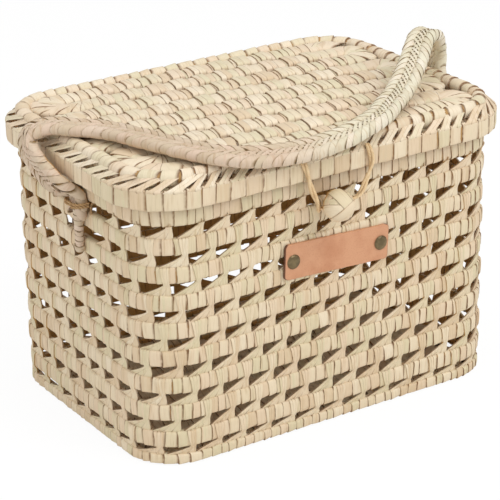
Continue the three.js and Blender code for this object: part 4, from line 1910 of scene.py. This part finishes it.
    def tie_places(self, rng: random.Random) -> list[Place]:
        """Places of the ties: face up, shifted from row to row.

        Args:
            rng: source of their unevenness.

        Returns:
            The places.
        """
        sizes, places = self.sizes, []
        for row in range(sizes.rows):
            y = self.row_y(row)
            reach = min(self.turn_x(y + side * self.pitch / 2) for side in (-1, 1))
            count = max(1, math.floor(2 * (reach - sizes.patch_width) / sizes.patch_pitch))
            shift = (row * sizes.patch_shift % 1 - 0.5) * 0.8
            for i in range(count):
                x = (i - (count - 1) / 2 + shift) * sizes.patch_pitch + rng.uniform(-1.5, 1.5)
                size = (1 + rng.uniform(-0.18, 0.14), 1, 1)
                point = Vector((x, y, sizes.middle))
                places.append(Place(point, Vector((1, 0, 0)), Vector((0, 1, 0)), size))
        return places


# ---------------- the lid


@dataclass(frozen=True)
class LidSizes:
    """Sizes of the lid."""

    skirt: Outline = Outline(317, 225, 46.5)
    skirt_thickness: float = 6
    skirt_bottom: float = 189.8
    skirt_height: float = 14
    coil_inset: float = 7.5
    coil_size: float = 10
    coil_bottom: float = 203.3
    mat_thickness: float = 7
    leaf_thickness: float = 3.0
    skirt_wrap: float = 12.4
    coil_wrap: float = 11.5
    coil_cover: float = 0.86
    lashing_room: float = 11

    @property
    def coil_outline(self) -> Outline:
        """Outer side of the edge coil."""
        return self.skirt.inset(self.coil_inset)

    @property
    def coil_middle(self) -> float:
        """Middle height of the edge coil and of the mat."""
        return self.coil_bottom + self.coil_size / 2


@dataclass
class Lid:
    """The skirt with its lacing, the edge coil and the mat."""

    shop: Workshop
    sizes: LidSizes = field(default_factory=LidSizes)

    def build(self) -> None:
        """Make the lid's pieces."""
        self.skirt()
        self.edge_coil()
        sizes = self.sizes
        space = sizes.coil_outline.inset(sizes.coil_size)
        mat = MatSizes(space, sizes.coil_middle, sizes.mat_thickness)
        WovenMat(self.shop, "lid_mat", "lid", mat).build()

    def skirt(self) -> None:
        """The upright band and the leaf that laces it to the coil."""
        sizes = self.sizes
        height = sizes.skirt_bottom + sizes.skirt_height / 2
        path = sizes.skirt.inset(sizes.skirt_thickness / 2).path(height)
        depth = sizes.leaf_thickness
        shift = (depth - sizes.skirt_thickness) / 2 + 0.1
        section = Section(depth, sizes.skirt_height - 0.4, 5.5, shift)
        wrap = LeafWrap(section, sizes.skirt_wrap, proud=SEAT)
        places = path.spaced(sizes.skirt_wrap, 0.16, random.Random(31))
        core = self.shop.core("lid_skirt_core", path, section)
        ties = (lacing_fan(), self.lacing_places(places))
        piece = self.shop.woven("lid_skirt_weave", core, (wrap, places), ties, lean=1.5)
        self.shop.finish(piece, "lid", Slot.LEAF, "lid_skirt")

    def lacing_places(self, strips: Sequence[Place]) -> list[Place]:
        """Places of the lacing, which leaves out the hinge lashings.

        Args:
            strips: places of the skirt's leaves.

        Returns:
            Those that are laced.
        """
        room = self.sizes.lashing_room
        return [
            strip for strip in strips
            if strip.point.y < 0 or all(abs(strip.point.x - x) >= room for x in HINGES.values())
        ]

    def edge_coil(self) -> None:
        """The round coil along the lid's edge."""
        sizes = self.sizes
        path = sizes.coil_outline.inset(sizes.coil_size / 2).path(sizes.coil_middle)
        section = Section(sizes.coil_size - 0.2, sizes.coil_size - 0.2, 2.2)
        wrap = LeafWrap(section, sizes.coil_wrap * sizes.coil_cover, 0.12, 0.16, 0.7)
        places = path.spaced(sizes.coil_wrap, 0.25, random.Random(32))
        core = self.shop.core("lid_edge_coil_core", path, section)
        piece = self.shop.woven("lid_edge_coil_weave", core, (wrap, places), lean=3.0)
        self.shop.finish(piece, "lid", Slot.LEAF, "lid_edge_coil")


# ---------------- the closure


@dataclass(frozen=True)
class ClosureSizes:
    """Sizes of the knob and its string.

    Attributes:
        ball_faces: the way that the ball's plainest side looks.
        ball_tuck: how far the ball's bands lie inside its radius.
        ball_wobble: how far they stray sideways.
        band_room: how far the band reaches below the row, and past its two faces.
        band_half: half the width of the bundle under the band.
        neck_run: where the neck starts and ends, out from the band.
        left_fall: place along X and height of the string's points left of the knob.
        right_fall: the same for those right of it.
        beside: shift along X and up, from the knob's neck, of its points beside the neck.
        neck_half: half its level run behind the ball.
        hook: how far its ends reach in over the skirt's edge.
    """

    height: float = 171.05
    radius: float = 11.5
    ball_y: float = -121.0
    ball_faces: tuple = (-0.5, -0.78, 0.38)
    ball_tuck: float = 0.9
    ball_wobble: float = 0.35
    front: float = -104
    band_width: float = 3.4
    band_thickness: float = 1.5
    band_room: tuple = (1.1, 1.7)
    band_half: float = 3.2
    neck_radius: float = 2.2
    neck_size: float = 3.8
    neck_run: tuple = (1.8, -7.2)
    neck_wrap: float = 2.6
    string_radius: float = 2.1
    string_y: float = -114.5
    string_lay: float = 46
    string_ends: tuple = (-33.4, 20.6)
    left_fall: tuple = ((-30.6, 195.5), (-27.2, 184.4), (-23.2, 175.0))
    right_fall: tuple = ((11.8, 171.6), (18.6, 182.4), (22.8, 193.5))
    beside: tuple = ((-9.4, -4.2), (11, -3.4))
    neck_half: float = 4
    hook: float = 3
    skirt_top: float = 203.8


@dataclass(frozen=True)
class BallBand:
    """One band of leaf round the ball.

    Attributes:
        axis: the band's axle.
        shift: how far along the axle it is.
        width: its width.
        lift: how far it is off the ball.
    """

    axis: Vector
    shift: float
    width: float
    lift: float


@dataclass
class Closure:
    """The leaf knob on its band and the string that loops over it.

    Attributes:
        ACROSS: share of a band's width, rise, and browning with painted crevice shade between the
            bands, from one edge to the other.
        STEPS: how many points each band has round the ball.
        FIRST_TONE: tone of the first band.
        TONE_STEP: how far the tone goes from band to band.
    """

    shop: Workshop
    body: BodySizes
    sizes: ClosureSizes = field(default_factory=ClosureSizes)

    ACROSS = (
        (-0.5, -0.9, 1.0), (-0.495, -0.1, 0.9), (-0.42, 0.15, 0.0), (-0.15, 0.15, 0.0),
        (0.15, 0.15, 0.0), (0.42, 0.15, 0.0), (0.495, -0.1, 0.9), (0.5, -0.9, 1.0),
    )
    STEPS = 40
    FIRST_TONE = 0.13
    TONE_STEP = 0.29

    def build(self) -> None:
        """Make the ball, its band and the string."""
        self.ball()
        self.band()
        self.string()

    def ball(self) -> None:
        """A knot of folded leaf: broad bands that cross over a round core."""
        out = Vector(self.sizes.ball_faces).normalized()
        side = UP.cross(out).normalized()
        rise = out.cross(side)
        bands = (
            BallBand(side, 0.0, 18.0, 0.0), BallBand(rise, 0.0, 18.0, 0.15),
            BallBand(out, 0.0, 17.0, 0.1), BallBand(rise, -4.9, 9.4, 0.35),
            BallBand(rise + side, 4.6, 9.0, 0.6), BallBand(side - rise * 1.3, 8.0, 8.4, 0.8),
        )
        rows: list[tuple[Vector, tuple[float, float], float, float]] = []
        faces: list[tuple[int, ...]] = []
        for number, band in enumerate(bands):
            faces += tube_faces(self.STEPS, len(self.ACROSS), True, len(rows))
            rows += self.loop_band(band, number)
        points, coordinates, wear_and_shade, tones = zip(*rows)
        mesh = solid_mesh("knob_ball_knot", points, faces, {"edge": wear_and_shade, "tone": tones})
        layer = mesh.uv_layers.new(name="leaf")
        for loop in mesh.loops:
            layer.data[loop.index].uv = coordinates[loop.vertex_index]
        mesh.materials.append(self.shop.palette.leaf)
        self.shop.finish(linked(mesh.name, mesh), "body", Slot.LEAF, "knob_ball")

    def loop_band(
        self, band: BallBand, number: int
    ) -> list[tuple[Vector, tuple[float, float], float, float]]:
        """One band of leaf round the ball.

        Args:
            band: its place and size.
            number: its number, which shifts its tone and its unevenness.

        Returns:
            Point, leaf coordinates, browning and tone of each of its points.
        """
        sizes = self.sizes
        centre = Vector((KNOB_X, sizes.ball_y, sizes.height))
        turn = Vector((0, 1, 0)).rotation_difference(band.axis.normalized()).to_matrix()
        radius = sizes.radius - sizes.ball_tuck + band.lift
        tone = (self.FIRST_TONE + self.TONE_STEP * number) % 1
        rows = []
        for i in range(self.STEPS):
            angle = math.tau * i / self.STEPS
            wobble = sizes.ball_wobble * math.sin(angle * 2 + number)
            for share, rise, worn_and_shaded in self.ACROSS:
                side = band.shift + share * band.width + wobble
                reach = math.sqrt(max((radius + rise) ** 2 - side**2, 1.0))
                local = Vector((reach * math.cos(angle), side, reach * math.sin(angle)))
                leaf = (share * band.width / 10, angle * radius / 10)
                rows.append((centre + turn @ local, leaf, worn_and_shaded, tone))
        return rows

    def band(self) -> None:
        """Leaf round the top wall row and the short twisted neck that carries the ball."""
        sizes, body = self.sizes, self.body
        below, past = sizes.band_room
        low, high = body.bottom(body.rows) - below, sizes.height
        section = Section(body.thickness + past, high - low, 3.6)
        wrap = LeafWrap(section, sizes.band_width, 0.05, 0, 0.35)
        middle = Vector((KNOB_X, sizes.front + body.thickness / 2, (low + high) / 2))
        along = Vector((1, 0, 0))
        spots = [
            Place(middle + along * dx, along, UP, (1, 1, size))
            for dx, size in ((-1.6, 1), (1.6, 0.98))
        ]
        line = Path([middle - along * sizes.band_half, middle + along * sizes.band_half])
        core = self.shop.core("knob_cord_core", line, section)
        run = [Vector((KNOB_X, sizes.front + shift, sizes.height)) for shift in sizes.neck_run]
        path, size = Path(run), sizes.neck_size
        neck = LeafWrap(Section(size, size, 2), sizes.neck_wrap, 0.2, 0.2, 0.3, 8)
        places = path.spaced(sizes.neck_wrap, 0.1, random.Random(5))
        piece = self.shop.woven("knob_cord_band", core, (wrap, spots), (neck, places))
        self.shop.finish(piece, "body", Slot.LEAF, "knob_cord")

    def string(self) -> None:
        """The string hung from the skirt's upper edge, behind the ball's neck."""
        sizes = self.sizes
        bottom = sizes.height - sizes.neck_radius - SEAT - sizes.string_radius
        neck = sizes.front - SEAT - sizes.band_thickness - SEAT - sizes.string_radius
        y, top = sizes.string_y, sizes.skirt_top + SEAT + sizes.string_radius
        near, ends = (y + neck) / 2, sizes.string_ends
        left, right = ((KNOB_X + aside, near, sizes.height + rise) for aside, rise in sizes.beside)
        points = (
            (ends[0], y + sizes.hook, top),
            (ends[0], y, sizes.skirt_top),
            *((x, y, z) for x, z in sizes.left_fall),
            left,
            (KNOB_X - sizes.neck_half, neck, bottom),
            (KNOB_X + sizes.neck_half, neck, bottom),
            right,
            *((x, y, z) for x, z in sizes.right_fall),
            (ends[1], y, sizes.skirt_top),
            (ends[1], y + sizes.hook, top),
        )
        path = Path(smooth_line([Vector(point) for point in points]))
        piece = self.shop.twisted(
            "closure_loop_string", [path], sizes.string_radius, self.shop.palette.string,
            sizes.string_lay, 0.5,
        )
        line = [p * MM for p in path.points]
        self.shop.finish(piece, "closure_loop", Slot.STRING, "closure_loop")
        LOG.info("closure string length: %.0f mm", path.length)


# ---------------- the label


@dataclass(frozen=True)
class LabelSizes:
    """Sizes of the label and its rivets.

    Attributes:
        washer: radius and distance out of each point of a washer's section.
    """

    width: float = 88
    height: float = 26
    thickness: float = 2
    corner: float = 3
    middle: float = 129.5
    tilt: float = 2.5
    front: float = -104
    rivet_inset: float = 7
    rivet_seat: float = 2.6
    head_radius: float = 5.3
    head_height: float = 1.8
    shank_radius: float = 1.4
    shank_end: float = -8.8
    washer: tuple = (
        (0.05, -9.0), (1.7, -9.1), (2.2, -9.25), (5.2, -9.3),
        (5.7, -9.15), (5.8, -8.6), (5.7, -8.35), (1.6, -8.3),
    )


@dataclass
class Label:
    """A bare leather label on two domed rivets.

    Attributes:
        RINGS: inset, share of the thickness and browning of each ring of the leather.
        RING_POINTS: how many points each ring has.
        ROUND_POINTS: how many points a rivet has round its axis.
    """

    shop: Workshop
    sizes: LabelSizes = field(default_factory=LabelSizes)

    RINGS = (
        (4.0, 0.0, 0.3), (0.3, 0.0, 1.0), (0.0, 0.15, 1.0), (0.0, 0.8, 0.9), (0.25, 1.0, 0.7),
        (0.8, 1.0, 0.35), (1.8, 1.0, 0.1), (3.4, 1.0, 0.0), (7.0, 1.0, 0.0), (11.0, 1.0, 0.0),
    )
    RING_POINTS = 140
    ROUND_POINTS = 28

    def build(self) -> None:
        """Make the leather plate, its rivets and their washers."""
        self.plate()
        for name, side in (("left", -1), ("right", 1)):
            x = side * (self.sizes.width / 2 - self.sizes.rivet_inset)
            self.rivet(f"rivet_{name}", x)
            self.washer(f"rivet_washer_{name}", x)

    def placed(self, x: float, out: float, z: float) -> Vector:
        """A point of the label, tilted on the wall's face.

        Args:
            x: along the label.
            out: out from the wall's face.
            z: up the label.

        Returns:
            The point in millimetres.
        """
        angle = math.radians(self.sizes.tilt)
        across = x * math.cos(angle) + z * math.sin(angle)
        up = z * math.cos(angle) - x * math.sin(angle)
        return Vector((across, self.sizes.front - out, self.sizes.middle + up))

    def plate(self) -> None:
        """The leather: a slightly cupped sheet with wavy, burnt edges."""
        sizes, count = self.sizes, self.RING_POINTS
        points: list[Vector] = []
        for inset, share, _ in self.RINGS:
            radius = max(sizes.corner - inset, 0.3)
            ring = Outline(sizes.width - 2 * inset, sizes.height - 2 * inset, radius).path()
            for i in range(count):
                spot = ring.at(ring.length * i / count).point
                rough = 0.3 * noise.noise(spot * 0.3) + 0.12 * noise.noise(spot * 1.1)
                rough *= max(0.0, 1 - inset / 3)
                cup = 0.25 * (2 * spot.x / sizes.width) ** 2 + 0.18 * math.sin(spot.x * 0.11)
                out = SEAT + sizes.thickness * share + cup * (0.4 + 0.6 * share)
                points.append(self.placed(spot.x + rough * 0.4, out, spot.y + rough))
        wear_and_shade = [worn_and_shaded for _, _, worn_and_shaded in self.RINGS for _ in range(count)]
        faces = tube_faces(len(self.RINGS), count)
        mesh = solid_mesh("label_leather", points, faces, {"edge": wear_and_shade})
        mesh.materials.append(self.shop.palette.leather)
        self.shop.finish(linked(mesh.name, mesh), "body", Slot.LEATHER, "label")

    def turning(
        self, name: str, x: float, profile: Sequence[tuple[float, float]], metal: Material
    ) -> Object:
        """A round piece on a rivet's axis.

        Args:
            name: the piece's name.
            x: the axis's place along the label.
            profile: points of radius and distance out, closed at the axis or on itself.
            metal: its finish.

        Returns:
            The piece.
        """
        points: list[Vector] = []
        for radius, out in profile:
            for i in range(self.ROUND_POINTS):
                angle = math.tau * i / self.ROUND_POINTS
                across, up = radius * math.cos(angle), radius * math.sin(angle)
                points.append(self.placed(x + across, out, up))
        mesh = solid_mesh(name, points, tube_faces(len(profile), self.ROUND_POINTS))
        mesh.materials.append(metal)
        return linked(name, mesh)

    def rivet(self, node: str, x: float) -> None:
        """A domed head with a small rim, on a shank through the wall.

        Args:
            node: the CAD node's name.
            x: the rivet's place along the label.
        """
        sizes = self.sizes
        face, head, rise = sizes.rivet_seat, sizes.head_radius, sizes.head_height
        shank = sizes.shank_radius
        profile = [(shank, sizes.shank_end), (shank, face - 0.1), (head * 0.96, face)]
        profile.append((head, face + 0.25))
        for turn in (math.radians(degrees) for degrees in range(0, 90, 12)):
            out = face + 0.3 + (rise - 0.3) * math.sin(turn)
            profile.append((head * math.cos(turn) * 0.97, out))
        profile.append((0.05, face + rise))
        piece = self.turning(f"{node}_head", x, profile, self.shop.palette.brass)
        self.shop.finish(piece, "body", Slot.BRASS, node)

    def washer(self, node: str, x: float) -> None:
        """The washer inside the wall, dished round the shank's end.

        Args:
            node: the CAD node's name.
            x: the rivet's place along the label.
        """
        piece = self.turning(f"{node}_disc", x, self.sizes.washer, self.shop.palette.washer)
        self.shop.finish(piece, "body", Slot.BRASS, node)


# ---------------- the strap


@dataclass(frozen=True)
class StrapSizes:
    """Sizes and route of the strap handle.

    Attributes:
        seat: how far out the strap's ends stand.
        passing: how far out it passes the lid.
        half_depth: the reach that the route's second column is a share of.
        lie: height of its middle line where it lies on the lid.
        rise: the height that the route's fourth column is a share of.
        end: how far it is held above and below the keeper's string.
        route: shares of passing, of half_depth, of the climb to lie and of rise, then heading
            and lean in degrees, of each free station.
    """

    cord_radius: float = 4
    spread: float = 13
    end_spread: float = 8.6
    seat: float = 154.3
    passing: float = 163.5
    half_depth: float = 112.5
    lie: float = 218.7
    rise: float = 23
    end: float = 6
    slant: float = 1.35
    wrap_width: float = 7.2
    stitch_pitch: float = 5.4
    stitch_width: float = 3.8
    back_width: float = 4.2
    tail: float = 30
    tail_size: float = 6.6
    tail_wrap: float = 3.6
    binding_radius: float = 1.05
    binding_lay: float = 5
    route: tuple = (
        (-1.012, -0.110, 0.27, 0, 0, -30), (-1.025, 0.040, 0.42, 0, 0, -36),
        (-1.038, 0.160, 0.64, 0, 0, -28), (-1.025, 0.200, 0.88, 0, -6, -10),
        (-0.955, 0.150, 1, 0, -24, 0), (-0.865, 0.010, 1, 0, -44, 0),
        (-0.782, -0.120, 1, 0, -58, 0), (-0.725, -0.330, 1, 0, -68, 0),
        (-0.675, -0.540, 1, 0, -68, 0), (-0.626, -0.731, 1, 0, -62, 2),
        (-0.570, -0.893, 1, 0, -48, 4), (-0.493, -0.985, 1, -0.04, -26, 10),
        (-0.376, -1.010, 1, -0.16, -5, 14), (-0.200, -1.018, 1, -0.23, 0, 14),
        (-0.012, -1.004, 1, -0.16, 8, 8), (0.164, -0.942, 1, -0.02, 23, 0),
        (0.255, -0.871, 1, 0, 33, 0), (0.352, -0.764, 1, 0.02, 37, 0),
        (0.502, -0.604, 1, 0.13, 37, 0), (0.623, -0.471, 1, 0.43, 36, 0),
        (0.743, -0.316, 1, 0.75, 34, 0), (0.795, -0.249, 1, 0.90, 31, 0),
        (0.861, -0.178, 1, 0.96, 25, 0), (0.929, -0.116, 1, 0.80, 17, 0),
        (0.984, -0.053, 1, 0.33, 8, 0), (1.004, -0.027, 0.88, 0, 3, 0),
        (1.003, -0.040, 0.63, 0, 0, -8), (1, -0.100, 0.36, 0, 0, -12),
    )


@dataclass
class Strap:
    """Two wrapped cords laced together, held by a string keeper at each side."""

    shop: Workshop
    body: BodySizes
    sizes: StrapSizes = field(default_factory=StrapSizes)

    def build(self) -> None:
        """Make the cords, the lacing, the keepers and the tails."""
        stations, slant = self.stations(), self.sizes.slant
        front, rear = (
            smooth_line([middle + out * (side * spread / 2) for middle, out, spread in stations])
            for side in (-1, 1)
        )
        ups = self.ups(front, rear)
        self.cord("handle_front_cord", Path(front, ups), slant)
        self.cord("handle_rear_cord", Path(rear, ups), -slant)
        self.lacing(front, rear, ups)
        for name, side in (("left", -1), ("right", 1)):
            self.keeper(f"strap_keeper_{name}", side)
            self.tail(f"strap_tail_{name}", side)

    def stations(self) -> list[tuple[Vector, Vector, float]]:
        """Lay out the strap from its left end to its right one.

        Returns:
            Middle point, way to the rear cord and spread of each station.
        """
        sizes, anchor = self.sizes, self.body.anchor_height
        free = []
        for wide, deep, climb, rise, heading, lean in sizes.route:
            yaw, roll = math.radians(heading), math.radians(lean)
            z = anchor + climb * (sizes.lie - anchor) + rise * sizes.rise
            middle = Vector((wide * sizes.passing, deep * sizes.half_depth, z))
            flat = math.cos(roll)
            out = Vector((-math.sin(yaw) * flat, math.cos(yaw) * flat, math.sin(roll)))
            free.append((middle, out, sizes.spread))
        left = [self.held(-1, anchor + shift) for shift in (-sizes.end, sizes.end)]
        right = [self.held(1, anchor + shift) for shift in (sizes.end, -sizes.end)]
        return left + free + right

    def held(self, side: int, z: float) -> tuple[Vector, Vector, float]:
        """A station inside a keeper.

        Args:
            side: -1 for the left keeper and 1 for the right one.
            z: its height.

        Returns:
            Its middle point, the way to the rear cord and the spread.
        """
        sizes = self.sizes
        return Vector((side * sizes.seat, ANCHOR_Y, z)), Vector((0, 1, 0)), sizes.end_spread

    def ups(self, front: list[Vector], rear: list[Vector]) -> list[Vector]:
        """The strap's outward vector at each point.

        Args:
            front: the front cord's points.
            rear: the rear cord's points.

        Returns:
            The vectors.
        """
        result = []
        for i, (a, b) in enumerate(zip(front, rear)):
            along = front[min(i + 1, len(front) - 1)] - front[max(i - 1, 0)]
            result.append(along.cross(b - a).normalized())
        return result

    def blended(self, piece: Object, node: str) -> None:
        """Bake a strap piece's placement into its mesh and let it stand for a CAD node."""
        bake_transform(piece)
        self.shop.stand_in(piece, Slot.LEAF, node)

    def cord(self, node: str, path: Path, slant: float) -> None:
        """One wrapped cord whose leaves slant towards the strap's middle.

        Args:
            node: the CAD node's name.
            path: the cord's middle line.
            slant: how far its leaves run along it on the way round.
        """
        sizes, size = self.sizes, self.sizes.cord_radius
        wrap = LeafWrap(Section(2 * size, 2 * size, 2.1), sizes.wrap_width, 0.0, slant, 0.3, 14)
        places = path.spaced(sizes.wrap_width, 0.2, random.Random(len(node)))
        core = self.shop.core(f"{node}_core", path, Section(1.6 * size, 1.6 * size, 2))
        leaf = self.shop.palette.green
        piece = self.shop.woven(f"{node}_wraps", core, (wrap, places), leaf=leaf)
        self.blended(piece, node)

    def lacing(self, front: list[Vector], rear: list[Vector], ups: list[Vector]) -> None:
        """Leaf stitches that cross between the two cords.

        Args:
            front: the front cord's points.
            rear: the rear cord's points.
            ups: the strap's outward vector at each of them.
        """
        sizes, bare = self.sizes, 8
        middles = [(a + b) / 2 for a, b in zip(front, rear)]
        inner, path = Path(middles[bare:-bare], ups[bare:-bare]), Path(middles, ups)
        width, height = sizes.spread - 2 * sizes.cord_radius, 2 * sizes.cord_radius
        section = Section(width + 3.6, height - 1.4, 2.0)
        stitch = LeafWrap(section, sizes.stitch_width, 0.0, 1.5, 0.5, 14)
        under = Section(width + 3.0, height - 2.2, 2.0)
        back = LeafWrap(under, sizes.back_width, 0.0, -1.3, 0.5, 14)
        spots = path.spaced(sizes.stitch_pitch, 0.12, random.Random(41), 24, 24)
        others = path.spaced(sizes.stitch_pitch, 0.12, random.Random(42), 28, 20)
        core = self.shop.core("handle_plait_core", inner, Section(width * 0.7, 2.0, 2), 8)
        wraps, ties, leaf = (stitch, spots), (back, others), self.shop.palette.green
        piece = self.shop.woven("handle_plait_stitches", core, wraps, ties, leaf)
        self.blended(piece, "handle_plait")

    def keeper(self, node: str, side: int) -> None:
        """String round the top wall row and over the strap.

        Args:
            node: the CAD node's name.
            side: -1 for the left keeper and 1 for the right one.
        """
        body, sizes = self.body, self.sizes
        # Let a piece stand for a CAD node by hiding that node.
        reach = sizes.end_spread / 2 + sizes.cord_radius + SEAT
        near, inner, tucked = 1.3, body.thickness + 1.3, 1.0
        low, high = body.bottom(body.rows) - 1.3, body.anchor_height
        face = side * body.outline.width / 2
        outline = Outline(inner - tucked, high - low, 2.5)
        lines = []
        for end in (-1, 1):
            y = ANCHOR_Y + end * (reach + 1.2)
            middle = Vector((face - side * (inner + tucked) / 2, y, (low + high) / 2))
            lines.append(outline.hoop(middle, Vector((1, 0, 0))))
        far = 2 * sizes.cord_radius + 1.7
        knots = (
            (near, -reach - 2.4), (far * 0.55, -reach - 1.4), (far, -reach + 2.2), (far + 0.2, 0),
            (far, reach - 2.2), (far * 0.55, reach + 1.4), (near, reach + 2.4),
        )
        for z in (high - 1.3, high + 0.6):
            points = [
                Vector((face + side * x, ANCHOR_Y + y, z + 0.5 * math.sin(y))) for x, y in knots
            ]
            lines.append(Path(smooth_line(points, 4)))
        string = self.shop.palette.binding
        piece = self.shop.twisted(
            f"{node}_string", lines, sizes.binding_radius, string, sizes.binding_lay
        )
        self.shop.finish(piece, "body", Slot.STRING, node)

    def tail(self, node: str, side: int) -> None:
        """The wrapped end that hangs below the keeper.

        Args:
            node: the CAD node's name.
            side: -1 for the left tail and 1 for the right one.
        """
        sizes, body = self.sizes, self.body
        top = body.anchor_height - sizes.end + 0.5
        x = side * (body.outline.width / 2 + 0.4 + 3.4)
        points = [Vector((x, ANCHOR_Y, top - sizes.tail * i / 12)) for i in range(13)]
        outward = [Vector((side, 0, 0))] * len(points)
        section = Section(sizes.tail_size, sizes.tail_size, 2)
        wrap = LeafWrap(section, sizes.tail_wrap, 0.0, 0.25, 0.4, 12)
        spots = []
        for place in Path(points, outward).spaced(sizes.tail_wrap, 0.15, random.Random(9)):
            share = (top - place.point.z) / sizes.tail
            size = 1.04 - 0.2 * share + 0.22 * max(0.0, share - 0.82) / 0.18
            spots.append(Place(place.point, place.along, place.up, (1, size, size)))
        inner = Path(points[:-1], outward[:-1])
        core = self.shop.core(f"{node}_core", inner, Section(3.2, 3.2, 2), 10)
        leaf = self.shop.palette.green
        piece = self.shop.woven(f"{node}_wraps", core, (wrap, spots), leaf=leaf)
        self.shop.finish(piece, "body", Slot.LEAF, node)


# ---------------- the hinges


@dataclass
class Hinges:
    """Three string lashings that hold the lid's skirt to the rim.

    Attributes:
        loops: outline, middle depth and middle height of the loops round the rim and the skirt.
    """

    shop: Workshop
    radius: float = 0.792
    lay: float = 4
    shifts: tuple = (-1.1, 0.35)
    loops: tuple = (
        (Outline(10.25, 27.8, 2), 100.125, 188.1), (Outline(8.25, 16, 2), 109.375, 196.8)
    )

    def build(self) -> None:
        """Make the lashings."""
        for name, x in HINGES.items():
            lines = [
                outline.hoop(Vector((x + shift, y, z)), Vector((0, 1, 0)))
                for shift in self.shifts
                for outline, y, z in self.loops
            ]
            node = f"hinge_lashing_{name}"
            string = self.shop.palette.string
            piece = self.shop.twisted(f"{node}_string", lines, self.radius, string, self.lay)
            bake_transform(piece)
            self.shop.stand_in(piece, Slot.STRING, node)


# ---------------- the studio


@dataclass(frozen=True)
class Light:
    """One soft area light."""

    name: str
    place: tuple[float, float, float]
    size: float
    power: float


@dataclass
class Studio:
    """The pale floor, the soft lights and the photograph's camera."""

    eye: tuple = (-0.76370068528, -1.17441946857, 0.67391407752)
    right: tuple = (0.83605192, -0.54846033, -0.01443795)
    up: tuple = (0.22062742, 0.31198914, 0.9241138)
    back: tuple = (-0.50233527, -0.77579253, 0.3818445)
    lens: float = 147.69
    lights: tuple = (
        Light("key", (0.5, -1.3, 1.5), 1.3, 17.0),
        Light("top", (-0.1, 0.2, 1.7), 1.6, 7.0),
        Light("left", (-1.6, -0.3, 0.9), 1.2, 5.0),
    )
    aim: tuple = (0, 0, 0.1)
    sky: float = 0.58
    reach: float = 14.0
    floor_height: float = -0.0006

    def build(self) -> None:
        """Set up the floor, the world, the lights and the camera."""
        self.floor()
        self.world()
        for light in self.lights:
            self.add_light(light)
        self.camera()

    def floor(self) -> None:
        """A broad pale floor that keeps the contact shadow."""
        mesh = bpy.data.meshes.new("floor")
        signs = ((-1, -1), (1, -1), (1, 1), (-1, 1))
        points = [(x * self.reach, y * self.reach, self.floor_height) for x, y in signs]
        mesh.from_pydata(points, [], [(0, 1, 2, 3)])
        material, graph, mixed = blank_material("studio_floor", "ShaderNodeMixShader")
        matt = graph.node("ShaderNodeBsdfDiffuse", {}, {"Color": (0.9, 0.9, 0.9, 1)})
        glow = graph.node("ShaderNodeEmission", {}, {"Color": (1, 1, 1, 1), "Strength": 1.02})
        rays = graph.node("ShaderNodeLightPath")
        share = Signal(graph, rays.outputs["Is Camera Ray"]) * 0.9
        graph.feed(mixed, {0: share, 1: matt.outputs[0], 2: glow.outputs[0]})
        mesh.materials.append(material)
        floor = linked("floor", mesh)

    def world(self) -> None:
        """Even light from all round."""
        world = bpy.data.worlds.new("studio")
        world.use_nodes = True
        background = world.node_tree.nodes["Background"]
        background.inputs["Color"].default_value = (1, 1, 1, 1)
        background.inputs["Strength"].default_value = self.sky
        bpy.context.scene.world = world

    def add_light(self, light: Light) -> None:
        """One area light that faces the box.

        Args:
            light: its sizes.
        """
        data = bpy.data.lights.new(light.name, "AREA")
        data.size, data.energy = light.size, light.power
        lamp = linked(light.name, data)
        lamp.location = light.place
        aim = Vector(self.aim) - Vector(light.place)
        lamp.rotation_euler = aim.to_track_quat("-Z", "Y").to_euler()

    def camera(self) -> None:
        """The photograph's camera."""
        data = bpy.data.cameras.new("camera")
        data.lens, data.sensor_width, data.sensor_fit = self.lens, 36.0, "HORIZONTAL"
        data.clip_start, data.clip_end = 0.05, 60.0
        camera = linked("camera", data)
        turn = Matrix((self.right, self.up, self.back)).transposed().to_4x4()
        camera.matrix_world = Matrix.Translation(self.eye) @ turn
        bpy.context.scene.camera = camera


def corners(box: tuple[Vector, Vector]) -> list[list[float]]:
    """A box as plain lists of numbers."""
    return [list(corner) for corner in box]


def main() -> None:
    """Build the box in order."""
    logging.basicConfig(level=logging.INFO, format="%(message)s")
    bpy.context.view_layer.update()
    scene = bpy.context.scene
    scene.view_settings.view_transform = "Standard"
    Studio().build()
    LOG.info("studio built")
    shop = Workshop(Palette.made())
    body = BodySizes()
    WovenWall(shop, body).build()
    base = MatSizes(body.outline.inset(body.thickness), 3.25, 6.5)
    WovenMat(shop, "base_mat", "body", base).build()
    Lid(shop).build()
    Closure(shop, body).build()
    Label(shop).build()
    Strap(shop, body).build()
    Hinges(shop).build()
    shop.clear()
    LOG.info("box built")


if __name__ == "__main__":
    main()
